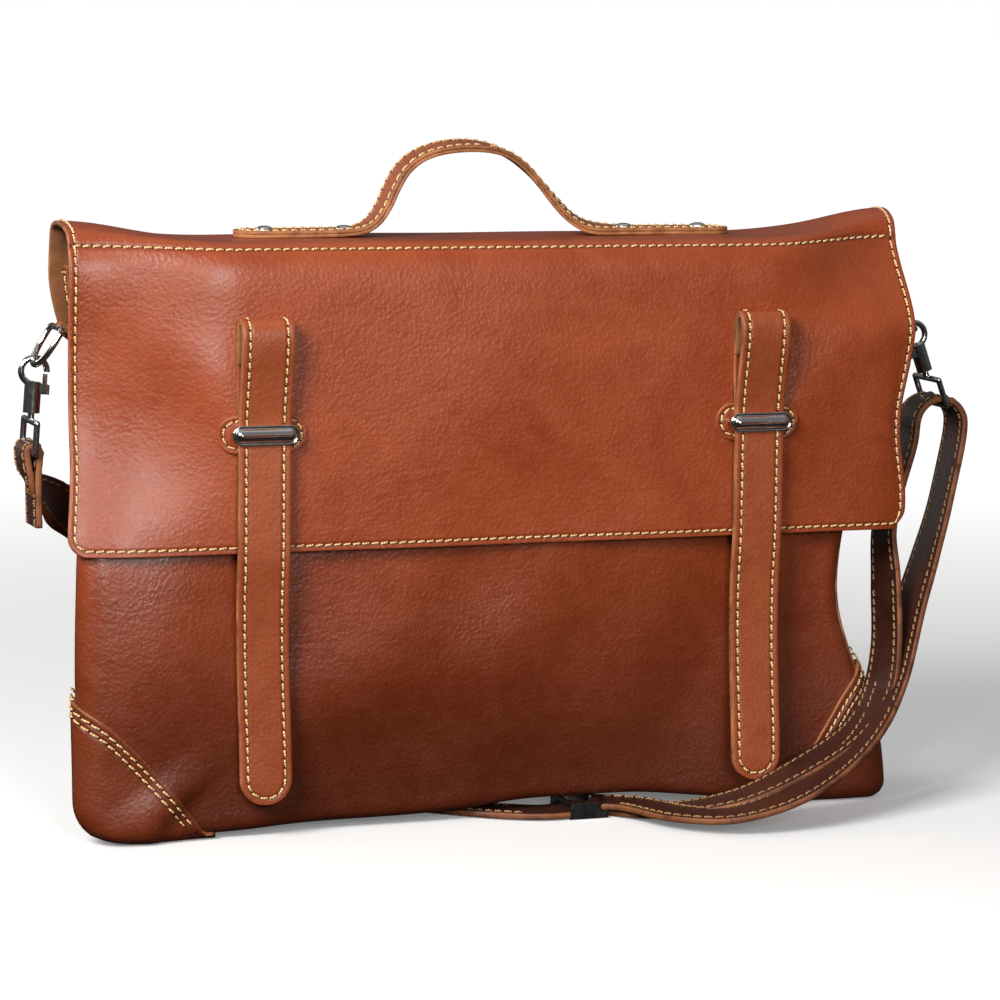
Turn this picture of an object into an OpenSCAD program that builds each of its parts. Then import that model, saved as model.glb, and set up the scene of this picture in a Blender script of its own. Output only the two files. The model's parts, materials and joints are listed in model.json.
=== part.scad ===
// Leather satchel briefcase with a folding flap, two closure straps, a riveted top handle
// and a clip-on shoulder strap. Millimetres. The origin is the middle of the footprint on
// the floor, +Z is up and the front faces -Y.

/* [Case] */
// Width of the case across its corner patches
case_w = 424; // [400:2:440]
// Depth of the case from front to back
case_d = 80; // [80:1:96]
// Height of the front crease, where the flap turns down
crease_h = 282; // [270:2:300]
// Thickness of the case and flap leather
skin_t = 2.2; // [1.8:0.1:2.4]
// How far the middle of each side panel folds inward
gusset_fold = 8; // [4:1:10]
// How far the middle of the bottom arches up off the floor
bottom_arch = 6.2; // [6:0.1:7]
// How far the front panel swells outward
belly = 3; // [0:0.5:3]

/* [Corner patches] */
// Reach of a corner patch along the bottom edge
patch_w = 60; // [50:1:66]
// Height of a corner patch at the side edge
patch_h = 67; // [56:1:72]
// How far the patch seam bows up and outward from a straight line
patch_bow = 3.2; // [2:0.2:6]

/* [Flap] */
// Width of the flap
flap_w = 430; // [426:1:442]
// Height of the lower edge of the flap over the floor
flap_edge_h = 140; // [120:2:160]
// Radius of the lower corners of the flap
flap_r = 15; // [8:1:30]

/* [Closure straps] */
// Width of a closure strap
closure_w = 25; // [20:1:26]
// Thickness of a closure strap, two layers sewn together
closure_t = 3; // [2.6:0.1:3.2]
// Distance of each closure strap from the middle of the case
closure_x = 127; // [110:1:150]
// Height of the metal keeper over the floor
keeper_h = 197; // [180:1:210]
// Height of the folded top of each closure strap
loop_h = 252; // [246:1:258]
// Height of the rounded lower end of each closure strap
tail_end_h = 18; // [12:1:30]
// Length of the keeper bar
keeper_w = 32; // [31:1:36]

/* [Handle] */
// Width of the handle strap
handle_w = 25; // [20:1:30]
// Thickness of one layer of the handle
handle_layer = 1.6; // [1.2:0.1:1.8]
// Distance from the middle to each end of the handle
handle_reach = 128; // [120:1:140]
// Distance from the middle to each foot of the arch
handle_foot = 60; // [56:1:64]
// Rise of the arch over the top of the case
handle_rise = 40; // [36:1:46]
// Distances of the rivets from the middle
rivet_inner_x = 73; // [70:1:78]
rivet_outer_x = 113; // [104:1:116]

/* [Shoulder strap] */
// Width of the shoulder strap
shoulder_w = 22; // [18:1:22]
// Thickness of the shoulder strap
shoulder_t = 3; // [2.4:0.2:3]

/* [Rings and snap hooks] */
// Distance of each ring bar from the middle of the case
ring_x = 215; // [214:1:218]
// Height of each ring bar over the floor
ring_h = 245; // [235:1:250]
// Radius of the ring and hook wire
wire_r = 1.5; // [1.2:0.1:1.6]
// Angle of the left ring out from hanging straight down
left_ring_angle = 32; // [25:1:45]
// Angle of the right ring out from hanging straight down
right_ring_angle = 66; // [55:1:70]
// Angle of the left hook out from hanging straight down
left_hook_angle = 4; // [2:1:8]
// Angle of the right hook out from hanging straight down
right_hook_angle = 20; // [15:1:22]

/* [Hidden] */

leather = "#8f4420";
leather_dark = "#7a3a1c";
raw_edge = "#b0764a";
suede = "#a06a42";
cloth = "#6e4a30";
metal = "#c9c9c6";
board = "#4a3a30";

$fn = 48;
gap = 0.1;                       // between layers that lie on each other
crease_gap = 3;                  // from a crease line to the leather on each side of it
eps = 0.01;                      // overlap that joins two shapes into one solid

// Case
panel_y = case_d / 2 - skin_t - gap;             // outer face of the front and back panels
panel_x = case_w / 2 - skin_t - gap;             // outer seam line of the side panels
floor_lift = skin_t + gap;                       // underside of the bottom at the corners
front_top = crease_h - 20;                       // top edge of the front panel
side_top = crease_h - 14;                        // top edge of the side panels
top_z = crease_h + 5;                            // upper face of the flap over the case
back_crease_z = top_z - 3;
back_crease_y = panel_y - skin_t / 2;
front_crease_y = -case_d / 2 - 2;
arch_half = case_w / 2 - 102;                    // half width of the arched middle
arch_foot = case_w / 2 - 62;                     // where the bottom meets the flat corners

// Lining and inner parts
board_t = 2.5;
lining_t = 0.8;
lining_y = panel_y - skin_t - 2.5;               // outer face of the lining, front and back
lining_x = panel_x - gusset_fold - skin_t - 1.5;
board_z = floor_lift + bottom_arch + skin_t + 0.3;
lining_z = board_z + board_t + gap;
lining_top = front_top - 6;
divider_y = 8;
divider_t = 4;
pocket_t = 1.2;

// Flap and closure
flap_y = -case_d / 2 - 3;                        // inner face of the flap front
flap_out = flap_y - skin_t;                      // outer face of the flap front
patch_t = 1.6;                                   // keeper patch leather
loop_back_t = 1.6;                               // thinned back layer of the strap loop
patch_face = flap_out - gap - patch_t;
strap_in = patch_face - 2 * gap - loop_back_t;   // inner face of the strap at the keeper
strap_mid = strap_in - closure_t / 2;
tail_hinge_z = keeper_h - 7;
tail_low_y = -panel_y - 4.5;                     // middle of the strap beside the socket
snap_h = 46;
snap_r = 7;
socket_t = 1.5;
keeper_r = 4;
keeper_leg_r = 1.6;
keeper_leg_x = keeper_w / 2 - 1.8;
keeper_back_t = 1;

// Handle
rivet_r = 2;
rivet_head_r = 4;

// Rings and hooks
ring_r = 12.5;
ring_leg = 8;
ring_drop = ring_leg + ring_r;                   // from the ring bar to the far wire
claw_r = 6.2;                                    // middle line of the hook claw
claw_drop = 3.1;                                 // from the ring wire to the middle of the claw
barrel_r = 4;
barrel_top = 8.4;
barrel_bottom = 23;
stem_r = 1.6;
running = 0.05;                                  // radial clearance of a turning fit
eye_top = 27;
eye_bottom = 41;
eye_half = shoulder_w / 2 + 1.2 + wire_r;
gate_x = -5.6;
gate_z = -11.6;
gate_pin_r = 0.8;
gate_w = 2.2;

// ---------------------------------------------------------------- helpers

function span(a, b, n) = [for (i = [0:n]) a + (b - a) * i / n];
function arc(c, r, a0, a1, n = 12) = [for (a = span(a0, a1, n)) c + r * [cos(a), sin(a)]];
function unit(v) = v / norm(v);
function turn_left(v) = [-v.y, v.x];
function heading(path, i) =
  unit(path[min(i + 1, len(path) - 1)] - path[max(i - 1, 0)]);

// Points beside a 2-D path, at a distance to its left
function beside(path, d) = [for (i = [0:len(path) - 1]) path[i] + d * turn_left(heading(path, i))];

// Band along a 2-D path, between two distances to its left
module band(path, from, to) {
  near = beside(path, from);
  far = beside(path, to);
  polygon(concat(near, [for (i = [len(far) - 1:-1:0]) far[i]]));
}

// A profile drawn in (y, z) becomes a solid centred on x = 0
module along_x(width) {
  rotate([90, 0, 90]) linear_extrude(width, center = true) children();
}

// A profile drawn in (x, z) becomes a solid centred on y = 0
module along_y(width) {
  rotate([90, 0, 0]) linear_extrude(width, center = true) children();
}

module mirrored(side) {
  mirror([side < 0 ? 1 : 0, 0, 0]) children();
}

module at_each(places) {
  for (p = places) translate(p) children();
}

// Strap outline seen from the front: straight top edge at 0, rounded end at -length
module tongue(width, length) {
  translate([-width / 2, -length + width / 2]) square([width, length - width / 2]);
  translate([0, -length + width / 2]) circle(width / 2);
}

module slot_shape(length, width) {
  square([length - width, width], center = true);
  for (s = [-1, 1]) translate([s * (length - width) / 2, 0]) circle(width / 2);
}

module rod_y(r, length) {
  rotate([90, 0, 0]) cylinder(r = r, h = length, center = true);
}

// Point on a smooth curve through p1 and p2, with p0 and p3 as its neighbours
function curve_point(p0, p1, p2, p3, t) =
  0.5 * (2 * p1 + t * (p2 - p0) + t * t * (2 * p0 - 5 * p1 + 4 * p2 - p3)
  + t * t * t * (3 * p1 - p0 - 3 * p2 + p3));
function smooth(pts, n = 6) = [
  for (i = [0:len(pts) - 2], j = [0:n - 1])
    curve_point(pts[max(i - 1, 0)], pts[i], pts[i + 1], pts[min(i + 2, len(pts) - 1)], j / n),
  pts[len(pts) - 1]
];

// Strap swept along stations [place, width direction]
module ribbon(places, widths, width, thick) {
  mids = smooth(places);
  sides = smooth(widths);
  last = len(mids) - 1;
  corners = [for (i = [0:last]) let (
    along = unit(mids[min(i + 1, last)] - mids[max(i - 1, 0)]),
    across = unit(sides[i] - (sides[i] * along) * along),
    out = cross(along, across),
    a = across * width / 2,
    b = out * thick / 2
  ) each [mids[i] - a - b, mids[i] + a - b, mids[i] + a + b, mids[i] - a + b]];
  faces = concat(
    [[0, 1, 2, 3]],
    [for (i = [0:last - 1], k = [0:3])
      [4 * i + k, 4 * i + 4 + k, 4 * i + 4 + (k + 1) % 4, 4 * i + (k + 1) % 4]],
    [[4 * last + 3, 4 * last + 2, 4 * last + 1, 4 * last]]
  );
  polyhedron(corners, faces, convexity = 6);
}

// ---------------------------------------------------------------- case

// Underside of the case from left to right, arched between the corners
bottom_line = [
  [-panel_x, floor_lift], [-arch_foot, floor_lift], [-arch_half, floor_lift + bottom_arch],
  [arch_half, floor_lift + bottom_arch], [arch_foot, floor_lift], [panel_x, floor_lift]
];

function swell(z) = z < patch_h ? 0 : belly * sin(180 * (z - patch_h) / (front_top - patch_h));

module panel_outline(top) {
  polygon(concat(bottom_line, [[panel_x, top], [-panel_x, top]]));
}

module front_panel() {
  face = concat([[-panel_y, 0]], [for (z = span(patch_h, front_top, 14)) [-panel_y - swell(z), z]]);
  color(leather)
  intersection() {
    along_x(case_w) band(face, -skin_t, 0);
    translate([0, -panel_y, 0]) along_y(4 * skin_t + 4 * belly) panel_outline(front_top);
  }
}

module back_panel() {
  color(leather)
  translate([0, back_crease_y, 0]) along_y(skin_t) panel_outline(back_crease_z - crease_gap);
}

module bottom_panel() {
  depth = 2 * (panel_y - skin_t - gap);
  color(leather_dark) along_y(depth) band(bottom_line, gap, skin_t);
}

module gusset(side) {
  seam_y = panel_y - skin_t - gap;
  foot = floor_lift + skin_t + gap;
  fold = [[panel_x, -seam_y], [panel_x - gusset_fold, 0], [panel_x, seam_y]];
  color(leather)
  mirrored(side) translate([0, 0, foot]) linear_extrude(side_top - foot)
    intersection() {
      band(fold, 0, skin_t);
      translate([0, -seam_y]) square([case_w, 2 * seam_y]);
    }
}

module left_gusset() { gusset(-1); }
module right_gusset() { gusset(1); }

// Shell round one lower corner, cut by a bowed seam on the front, the side and the bottom
module corner_patch(side, facing) {
  half_w = case_w / 2;
  half_d = case_d / 2;
  wrap = 12;                                    // bare width left along the middle
  chord = norm([patch_w, patch_h]);
  bow_r = chord * chord / (8 * patch_bow) + patch_bow / 2;
  outward = [patch_h, patch_w] / chord;         // from the corner across the seam
  bow_mid = [patch_w, patch_h] / 2 - outward * (bow_r - patch_bow);
  color(leather_dark)
  mirrored(side) mirror([0, facing < 0 ? 1 : 0, 0])
  intersection() {
    difference() {
      cube([half_w, half_d, patch_h + 2]);
      translate([-1, -1, skin_t]) cube([half_w - skin_t + 1, half_d - skin_t + 1, patch_h + 2]);
    }
    translate([half_w - bow_mid.x, 0, bow_mid.y]) rotate([90, 0, 0])
      cylinder(r = bow_r, h = 3 * half_d, center = true, $fn = 180);
    translate([0, wrap, -1]) cube([half_w + 1, half_d, patch_h + 4]);
  }
}

module front_left_corner_patch() { corner_patch(-1, -1); }
module front_right_corner_patch() { corner_patch(1, -1); }
module back_left_corner_patch() { corner_patch(-1, 1); }
module back_right_corner_patch() { corner_patch(1, 1); }

module base_board() {
  color(board)
  translate([-lining_x, -lining_y, board_z]) cube([2 * lining_x, 2 * lining_y, board_t]);
}

module lining() {
  color(cloth)
  difference() {
    translate([-lining_x, -lining_y, lining_z])
      cube([2 * lining_x, 2 * lining_y, lining_top - lining_z]);
    translate([-lining_x + lining_t, -lining_y + lining_t, lining_z + lining_t])
      cube([2 * (lining_x - lining_t), 2 * (lining_y - lining_t), lining_top]);
  }
}

module padded_divider() {
  half = lining_x - lining_t - gap;
  foot = lining_z + lining_t + gap;
  height = lining_top - 26 - foot;
  r = 12;
  color(cloth)
  translate([0, divider_y + divider_t / 2, foot]) along_y(divider_t) {
    translate([-half, 0]) square([2 * half, height - r]);
    translate([-half + r, height - r - eps]) square([2 * (half - r), r + eps]);
    for (s = [-1, 1]) translate([s * (half - r), height - r]) circle(r);
  }
}

module slip_pocket() {
  half = lining_x / 2;
  color(suede)
  translate([-half, lining_y - lining_t - gap - pocket_t, lining_z + 60])
    cube([2 * half, pocket_t, 110]);
}

module snap_sockets() {
  color(metal)
  for (s = [-1, 1]) translate([s * closure_x, -panel_y + skin_t + gap, snap_h])
    rotate([-90, 0, 0]) cylinder(r = snap_r, h = socket_t);
}

// ---------------------------------------------------------------- ring tabs

tab_w = 2 * (ring_r - wire_r) - 2;
tab_t = 3.2;
tab_x = panel_x - gusset_fold * (1 - tab_w / 2 / panel_y) + 0.6;   // inner face of the sewn tail
tab_rivet_h = ring_h - 22;
loop_wall = 1.6;

// Leather folded round the ring bar, with both ends riveted to the side panel
module ring_tab(side) {
  loop_r = wire_r + running + loop_wall;
  color(leather_dark)
  mirrored(side)
  difference() {
    along_y(tab_w) {
      translate([ring_x, ring_h]) circle(loop_r);
      translate([tab_x, ring_h - 32]) square([tab_t, 26]);
      polygon([
        [tab_x, ring_h - 6 - eps], [tab_x + tab_t, ring_h - 6 - eps],
        [ring_x + loop_r * 0.3, ring_h - loop_r * 0.9], [ring_x - loop_r * 0.9, ring_h + loop_r * 0.3]
      ]);
    }
    translate([ring_x, 0, ring_h]) rod_y(wire_r + running, tab_w + 2);
    translate([tab_x - 1, 0, tab_rivet_h]) rotate([0, 90, 0])
      cylinder(r = 1.5 + gap, h = tab_t + 2);
  }
}

module left_ring_tab() { ring_tab(-1); }
module right_ring_tab() { ring_tab(1); }

module tab_rivets() {
  color(metal)
  for (s = [-1, 1]) mirrored(s) translate([tab_x, 0, tab_rivet_h]) rotate([0, 90, 0]) {
    cylinder(r = 1.5, h = tab_t + 1);
    translate([0, 0, tab_t + gap]) cylinder(r = 3.2, h = 1);
  }
}

// ---------------------------------------------------------------- flap over the case

over_y = 20;                                     // half width of the flat stretch under the handle

module flap_top() {
  back = [back_crease_y - crease_gap, back_crease_z];
  front = [front_crease_y + crease_gap, crease_h];
  over = [back, [over_y, top_z], [-over_y, top_z], front];
  color(leather)
  difference() {
    along_x(flap_w) band(over, 0, skin_t);
    rivet_holes();
  }
}

module rivet_holes() {
  at_each([for (s = [-1, 1], x = [rivet_inner_x, rivet_outer_x]) [s * x, 0, top_z - 8]])
    cylinder(r = rivet_r + gap, h = 20);
}

module handle_backing() {
  color(suede)
  difference() {
    translate([0, 0, top_z - skin_t - gap - 1.4])
      linear_extrude(1.4) slot_shape(2 * handle_reach, 30);
    rivet_holes();
  }
}

// Left half of the arch: a flat foot, then a foot arc and a crown arc that meet at their steepest
arch_turn = 2 * atan(handle_rise / handle_foot);
foot_r = 0.34 * handle_foot / sin(arch_turn);
crown_r = handle_foot / sin(arch_turn) - foot_r;
arch_half_path = concat(
  [[-handle_reach, 0]],
  arc([-handle_foot, foot_r], foot_r, -90, arch_turn - 90, 8),
  arc([0, handle_rise - crown_r], crown_r, 84 + arch_turn, 90, 10)
);
arch_path = concat(
  arch_half_path,
  [for (i = [len(arch_half_path) - 2:-1:0]) [-arch_half_path[i].x, arch_half_path[i].y]]
);

module handle_layer_solid(from, to) {
  difference() {
    intersection() {
      translate([0, 0, top_z]) along_y(handle_w) band(arch_path, from, to);
      linear_extrude(top_z + handle_rise + 20) slot_shape(2 * handle_reach, handle_w);
    }
    rivet_holes();
  }
}

module handle_lower_layer() {
  color(leather) handle_layer_solid(gap, handle_layer);
}

module handle_upper_layer() {
  color(leather) handle_layer_solid(handle_layer + gap, 2 * handle_layer);
}

module handle_rivets() {
  foot = top_z - skin_t - gap - 1.4 - gap;
  head = top_z + 2 * handle_layer + gap;
  color(metal)
  at_each([for (s = [-1, 1], x = [rivet_inner_x, rivet_outer_x]) [s * x, 0, 0]]) {
    translate([0, 0, foot - 1]) cylinder(r = rivet_r, h = head - foot + 1.6);
    translate([0, 0, foot - 1]) cylinder(r = rivet_head_r, h = 1);
    translate([0, 0, head]) cylinder(r = rivet_head_r, h = 1);
  }
}

// ---------------------------------------------------------------- flap front

module flap_outline(inset = 0) {
  half = flap_w / 2 - inset;
  top = crease_h - crease_gap - inset;
  low = flap_edge_h + inset;
  translate([-half, low + flap_r]) square([2 * half, top - low - flap_r]);
  translate([-half + flap_r, low]) square([2 * (half - flap_r), flap_r + eps]);
  for (s = [-1, 1]) translate([s * (half - flap_r), low + flap_r]) circle(flap_r);
}

module leg_holes() {
  for (s = [-1, 1], e = [-1, 1])
    translate([s * closure_x + e * keeper_leg_x, flap_y - 8, keeper_h]) rotate([-90, 0, 0])
      cylinder(r = keeper_leg_r + gap, h = 20);
}

module flap_front() {
  color(leather)
  difference() {
    translate([0, flap_y - skin_t / 2, 0]) along_y(skin_t) flap_outline();
    leg_holes();
  }
}

module flap_facing() {
  facing_t = 0.8;
  color(suede)
  translate([0, flap_y + keeper_back_t + 2 * gap + facing_t / 2, 0])
    along_y(facing_t) flap_outline(6);
}

module keeper_patch(side) {
  color(leather_dark)
  difference() {
    translate([side * closure_x, flap_out - gap - patch_t / 2, keeper_h])
      along_y(patch_t) slot_shape(40, 16);
    leg_holes();
  }
}

module left_keeper_patch() { keeper_patch(-1); }
module right_keeper_patch() { keeper_patch(1); }

// Domed bar over the strap, on two legs held by a plate behind the flap
module keeper(side) {
  bar_y = strap_in - closure_t - 2 * gap;
  plate_y = flap_y + gap;
  color(metal)
  translate([side * closure_x, 0, keeper_h]) {
    translate([0, bar_y, 0]) rotate([0, 90, 0]) rotate([0, 0, 180]) rotate_extrude(angle = 180)
      intersection() {
        rotate(90) slot_shape(keeper_w, 2 * keeper_r);
        translate([0, -keeper_w]) square([2 * keeper_r, 2 * keeper_w]);
      }
    for (e = [-1, 1]) translate([e * keeper_leg_x, bar_y - 0.5, 0]) rotate([-90, 0, 0])
      cylinder(r = keeper_leg_r, h = plate_y + keeper_back_t - bar_y + 0.5);
    translate([0, plate_y + keeper_back_t / 2, 0]) along_y(keeper_back_t) slot_shape(keeper_w + 4, 7);
  }
}

module left_keeper() { keeper(-1); }
module right_keeper() { keeper(1); }

// Upper end of a closure strap: up from the keeper, over the fold and back down to the flap
module strap_loop(side) {
  fold_r = 4.6;
  top_back_y = flap_out - gap - closure_t / 2;
  fold_y = top_back_y - fold_r;
  back_y = patch_face - gap - loop_back_t / 2;
  front = concat(
    [[strap_mid, tail_hinge_z + 2.5], [strap_mid, keeper_h + 6]],
    [[fold_y - fold_r, loop_h - 24]],
    arc([fold_y, loop_h - fold_r - closure_t / 2], fold_r, 180, 0, 10)
  );
  back = [
    [top_back_y, loop_h - fold_r - closure_t / 2 + eps], [top_back_y, loop_h - 20],
    [back_y, keeper_h + 12], [back_y, keeper_h + 2]
  ];
  color(leather)
  translate([side * closure_x, 0, 0]) along_x(closure_w) {
    band(front, -closure_t / 2, closure_t / 2);
    band(back, -loop_back_t / 2, loop_back_t / 2);
  }
}

module left_strap_loop() { strap_loop(-1); }
module right_strap_loop() { strap_loop(1); }

// ---------------------------------------------------------------- closure strap tails

module closure_strap(side) {
  tail = [
    [strap_mid, tail_hinge_z - 1.5], [strap_mid, flap_edge_h],
    [tail_low_y - 1.5, snap_h + 40], [tail_low_y, snap_h + 16], [tail_low_y, tail_end_h]
  ];
  color(leather)
  translate([side * closure_x, 0, 0])
  intersection() {
    along_x(closure_w) band(tail, -closure_t / 2, closure_t / 2);
    translate([0, strap_mid, tail_hinge_z]) along_y(40) tongue(closure_w, tail_hinge_z - tail_end_h);
  }
}

module left_closure_strap() { closure_strap(-1); }
module right_closure_strap() { closure_strap(1); }

module snap_plug(side) {
  inner = tail_low_y + closure_t / 2;
  color(metal)
  translate([side * closure_x, inner + gap, snap_h]) rotate([-90, 0, 0])
    cylinder(r = snap_r, h = -panel_y - 2 * gap - inner);
}

module left_snap_plug() { snap_plug(-1); }
module right_snap_plug() { snap_plug(1); }

// ---------------------------------------------------------------- rings and snap hooks

function ring_angle(side) = side < 0 ? left_ring_angle : right_ring_angle;
function hook_angle(side) = side < 0 ? left_hook_angle : right_hook_angle;
function ring_end(side) = [
  ring_x + ring_drop * sin(ring_angle(side)), 0, ring_h - ring_drop * cos(ring_angle(side))
];

// Children hang along -Z from the ring bar
module from_ring_bar(side) {
  mirrored(side) translate([ring_x, 0, ring_h]) rotate([0, -ring_angle(side), 0]) children();
}

// Children hang along -Z from the far wire of the ring
module from_ring_end(side) {
  mirrored(side) translate(ring_end(side)) rotate([0, -hook_angle(side), 0]) children();
}

module d_ring(side) {
  color(metal)
  from_ring_bar(side) {
    rod_y(wire_r, 2 * ring_r);
    for (e = [-1, 1]) {
      translate([0, e * ring_r, 0]) sphere(wire_r);
      translate([0, e * ring_r, -ring_leg]) cylinder(r = wire_r, h = ring_leg);
    }
    translate([0, 0, -ring_leg]) rotate([90, 90, 90])
      rotate([0, 0, -90]) rotate_extrude(angle = 180) translate([ring_r, 0]) circle(wire_r);
  }
}

module left_d_ring() { d_ring(-1); }
module right_d_ring() { d_ring(1); }

// Claw over the ring wire, on a barrel bored for the swivel stem, with a forked lug for the gate
module snap_hook(side) {
  lug = [7.4, 6, 4.6];
  color(metal)
  from_ring_end(side)
  difference() {
    union() {
      translate([0, 0, -claw_drop]) rotate([90, 0, 0]) rotate([0, 0, -90])
        rotate_extrude(angle = 272) translate([claw_r, 0]) circle(wire_r);
      translate([0, 0, -barrel_bottom]) cylinder(r = barrel_r, h = barrel_bottom - barrel_top);
      translate([-lug.x, -lug.y / 2, gate_z - lug.z / 2]) cube(lug);
    }
    translate([0, 0, -barrel_bottom - 1]) cylinder(r = stem_r + running, h = 5);
    translate([0, 0, -barrel_bottom + 3]) cylinder(r = stem_r + 0.9, h = 4);
    translate([gate_x, 0, gate_z]) rod_y(gate_pin_r + running, lug.y + 2);
    translate([gate_x - 3, -gate_w / 2 - 0.25, gate_z - 3.4]) cube([6.2, gate_w + 0.5, 8]);
  }
}

module left_snap_hook() { snap_hook(-1); }
module right_snap_hook() { snap_hook(1); }

module hook_gate(side) {
  color(metal)
  from_ring_end(side) translate([gate_x, 0, gate_z])
  along_y(gate_w) difference() {
    union() {
      circle(1.5);
      translate([-0.9, 0]) square([1.8, 7.2]);
    }
    circle(gate_pin_r + running);
  }
}

module left_hook_gate() { hook_gate(-1); }
module right_hook_gate() { hook_gate(1); }

module gate_pin(side) {
  color(metal)
  from_ring_end(side) translate([gate_x, 0, gate_z]) rod_y(gate_pin_r, 6);
}

module left_gate_pin() { gate_pin(-1); }
module right_gate_pin() { gate_pin(1); }

// Oval eye for the strap, with a headed stem that turns in the hook's barrel
module swivel_eye(side) {
  half = eye_half;
  color(metal)
  from_ring_end(side) {
    translate([0, 0, -eye_top]) cylinder(r = stem_r, h = eye_top - barrel_bottom + 3.5);
    translate([0, 0, -barrel_bottom + 3.5]) cylinder(r = stem_r + 0.7, h = 3);
    for (z = [-eye_top, -eye_bottom]) translate([0, 0, z]) rod_y(wire_r, 2 * half);
    for (e = [-1, 1]) {
      translate([0, e * half, -eye_bottom]) cylinder(r = wire_r, h = eye_bottom - eye_top);
      for (z = [-eye_top, -eye_bottom]) translate([0, e * half, z]) sphere(wire_r);
    }
  }
}

module left_swivel_eye() { swivel_eye(-1); }
module right_swivel_eye() { swivel_eye(1); }

// ---------------------------------------------------------------- shoulder strap

// Middle of the eye's lower bar on each side, in mirrored coordinates
function eye_bar(side) = ring_end(side)
  + eye_bottom * [sin(hook_angle(side)), 0, -cos(hook_angle(side))];

right_bar = eye_bar(1);
drape_r = 15;                                    // half width of the strap's bend over the eye
drape_z = right_bar.z + wire_r + 0.3 + shoulder_t / 2 - drape_r;
split_z = right_bar.z - 36;                      // where the hanging ends meet the long runs
floor_mid = shoulder_w / 2 + 0.4;                // middle height of the strap standing on edge
flat_low = shoulder_t / 2 + 0.8;                 // middle height of the strap lying flat
flat_high = flat_low + shoulder_t + 0.4;
slider_at = [45, -27];

// The strap bends over the right eye and hangs in two legs
module right_strap_end() {
  inner = [right_bar.x - drape_r, drape_z];
  outer = [right_bar.x + drape_r, drape_z];
  path = concat(
    [[inner.x - 4, split_z + 3], [inner.x - 1, drape_z - 8]],
    arc([right_bar.x, drape_z], drape_r, 180, 0, 14),
    [[outer.x, drape_z - 8], [outer.x - 3, split_z + 3]]
  );
  color(leather) along_y(shoulder_w) band(path, -shoulder_t / 2, shoulder_t / 2);
}

// Inner leg: down from the right eye, along the floor and flat into the slider
module shoulder_strap_right_run() {
  top = right_bar.x - drape_r - 4;
  color(leather)
  ribbon(
    [
      [top, 0, split_z - 3], [top - 1, -14, 120], [top - 1, -37, 88], [top - 14.5, -54.5, 56],
      [180, -66, 34], [150, -74, 20], [124, -76, floor_mid + 1.2], [102, -70, 7.4],
      [slider_at.x + 34, slider_at.y - 26, flat_low],
      [slider_at.x + 18, slider_at.y - 3, flat_low], [slider_at.x + 12, slider_at.y, flat_low],
      [slider_at.x + 7, slider_at.y, flat_low]
    ],
    [
      [0, 1, 0], [-0.2, 1, -0.05], [-0.3, 0.95, -0.1], [-0.45, 0.85, 0.05],
      [-0.4, 0.6, 0.6], [-0.2, 0.2, 1], [0, 0.2, 1], [0.2, 0.9, 0.3],
      [0.6, 0.8, 0], [0.2, 1, 0], [0, 1, 0], [0, 1, 0]
    ],
    shoulder_w, shoulder_t
  );
}

// Outer leg: it ends on the slider's middle bar
module shoulder_strap_return_run() {
  top = right_bar.x + drape_r - 3;
  color(leather)
  ribbon(
    [
      [top, 0, split_z - 3], [top - 4, -12, 128], [top - 12, -36, 88], [top - 24, -62, 58],
      [210, -86, 34], [164, -100, 16], [130, -108, floor_mid], [104, -104, 11.4],
      [slider_at.x + 38, slider_at.y - 48, flat_high + 4.2],
      [slider_at.x + 24, slider_at.y - 14, flat_high + 0.2],
      [slider_at.x + 12, slider_at.y, flat_high], [slider_at.x + 7, slider_at.y, flat_high]
    ],
    [
      [0, 1, 0], [-0.2, 1, -0.05], [-0.3, 0.95, -0.1], [-0.45, 0.85, 0.05],
      [-0.4, 0.6, 0.6], [-0.2, 0.2, 1], [0, 0.2, 1], [-0.3, 0.6, 0.7],
      [0.7, 0.7, 0.1], [0.5, 0.85, 0], [0, 1, 0], [0, 1, 0]
    ],
    shoulder_w, shoulder_t
  );
}

left_bar = eye_bar(-1);
behind_y = case_d / 2 + 24;

// Straight stretch through the slider and under the arched bottom, then out behind the case
module shoulder_strap_floor_run() {
  color(leather)
  ribbon(
    [
      [slider_at.x + 5.5, slider_at.y, flat_low], [slider_at.x - 14, slider_at.y, flat_low],
      [slider_at.x - 25, slider_at.y, flat_low], [slider_at.x - 36, slider_at.y, flat_low],
      [slider_at.x - 62, slider_at.y + 17, flat_low], [-62, case_d / 2 + 2, flat_low],
      [-104, behind_y + 10, flat_low + 2]
    ],
    [[0, 1, 0], [0, 1, 0], [0, 1, 0], [0, 1, 0], [0.6, 0.8, 0], [0.5, 0.8, 0], [0.2, 1, 0.2]],
    shoulder_w, shoulder_t
  );
}

// From the floor behind the case up to the left eye
module shoulder_strap_left_run() {
  color(leather)
  ribbon(
    [
      [-110, behind_y + 12, flat_low + 2.4], [-150, behind_y + 16, 10], [-196, behind_y, 34],
      [-222, behind_y - 22, 76], [-232, 24, 112], [-left_bar.x, 1.5, left_bar.z - 56],
      [-left_bar.x, 0, left_bar.z - 42]
    ],
    [
      [0.2, 1, 0.2], [0.1, 1, 0.3], [0.4, 1, 0.2], [0.3, 1, 0.2], [0.1, 1, 0.2], [0, 1, 0],
      [0, 1, 0]
    ],
    shoulder_w, shoulder_t
  );
}

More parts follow.
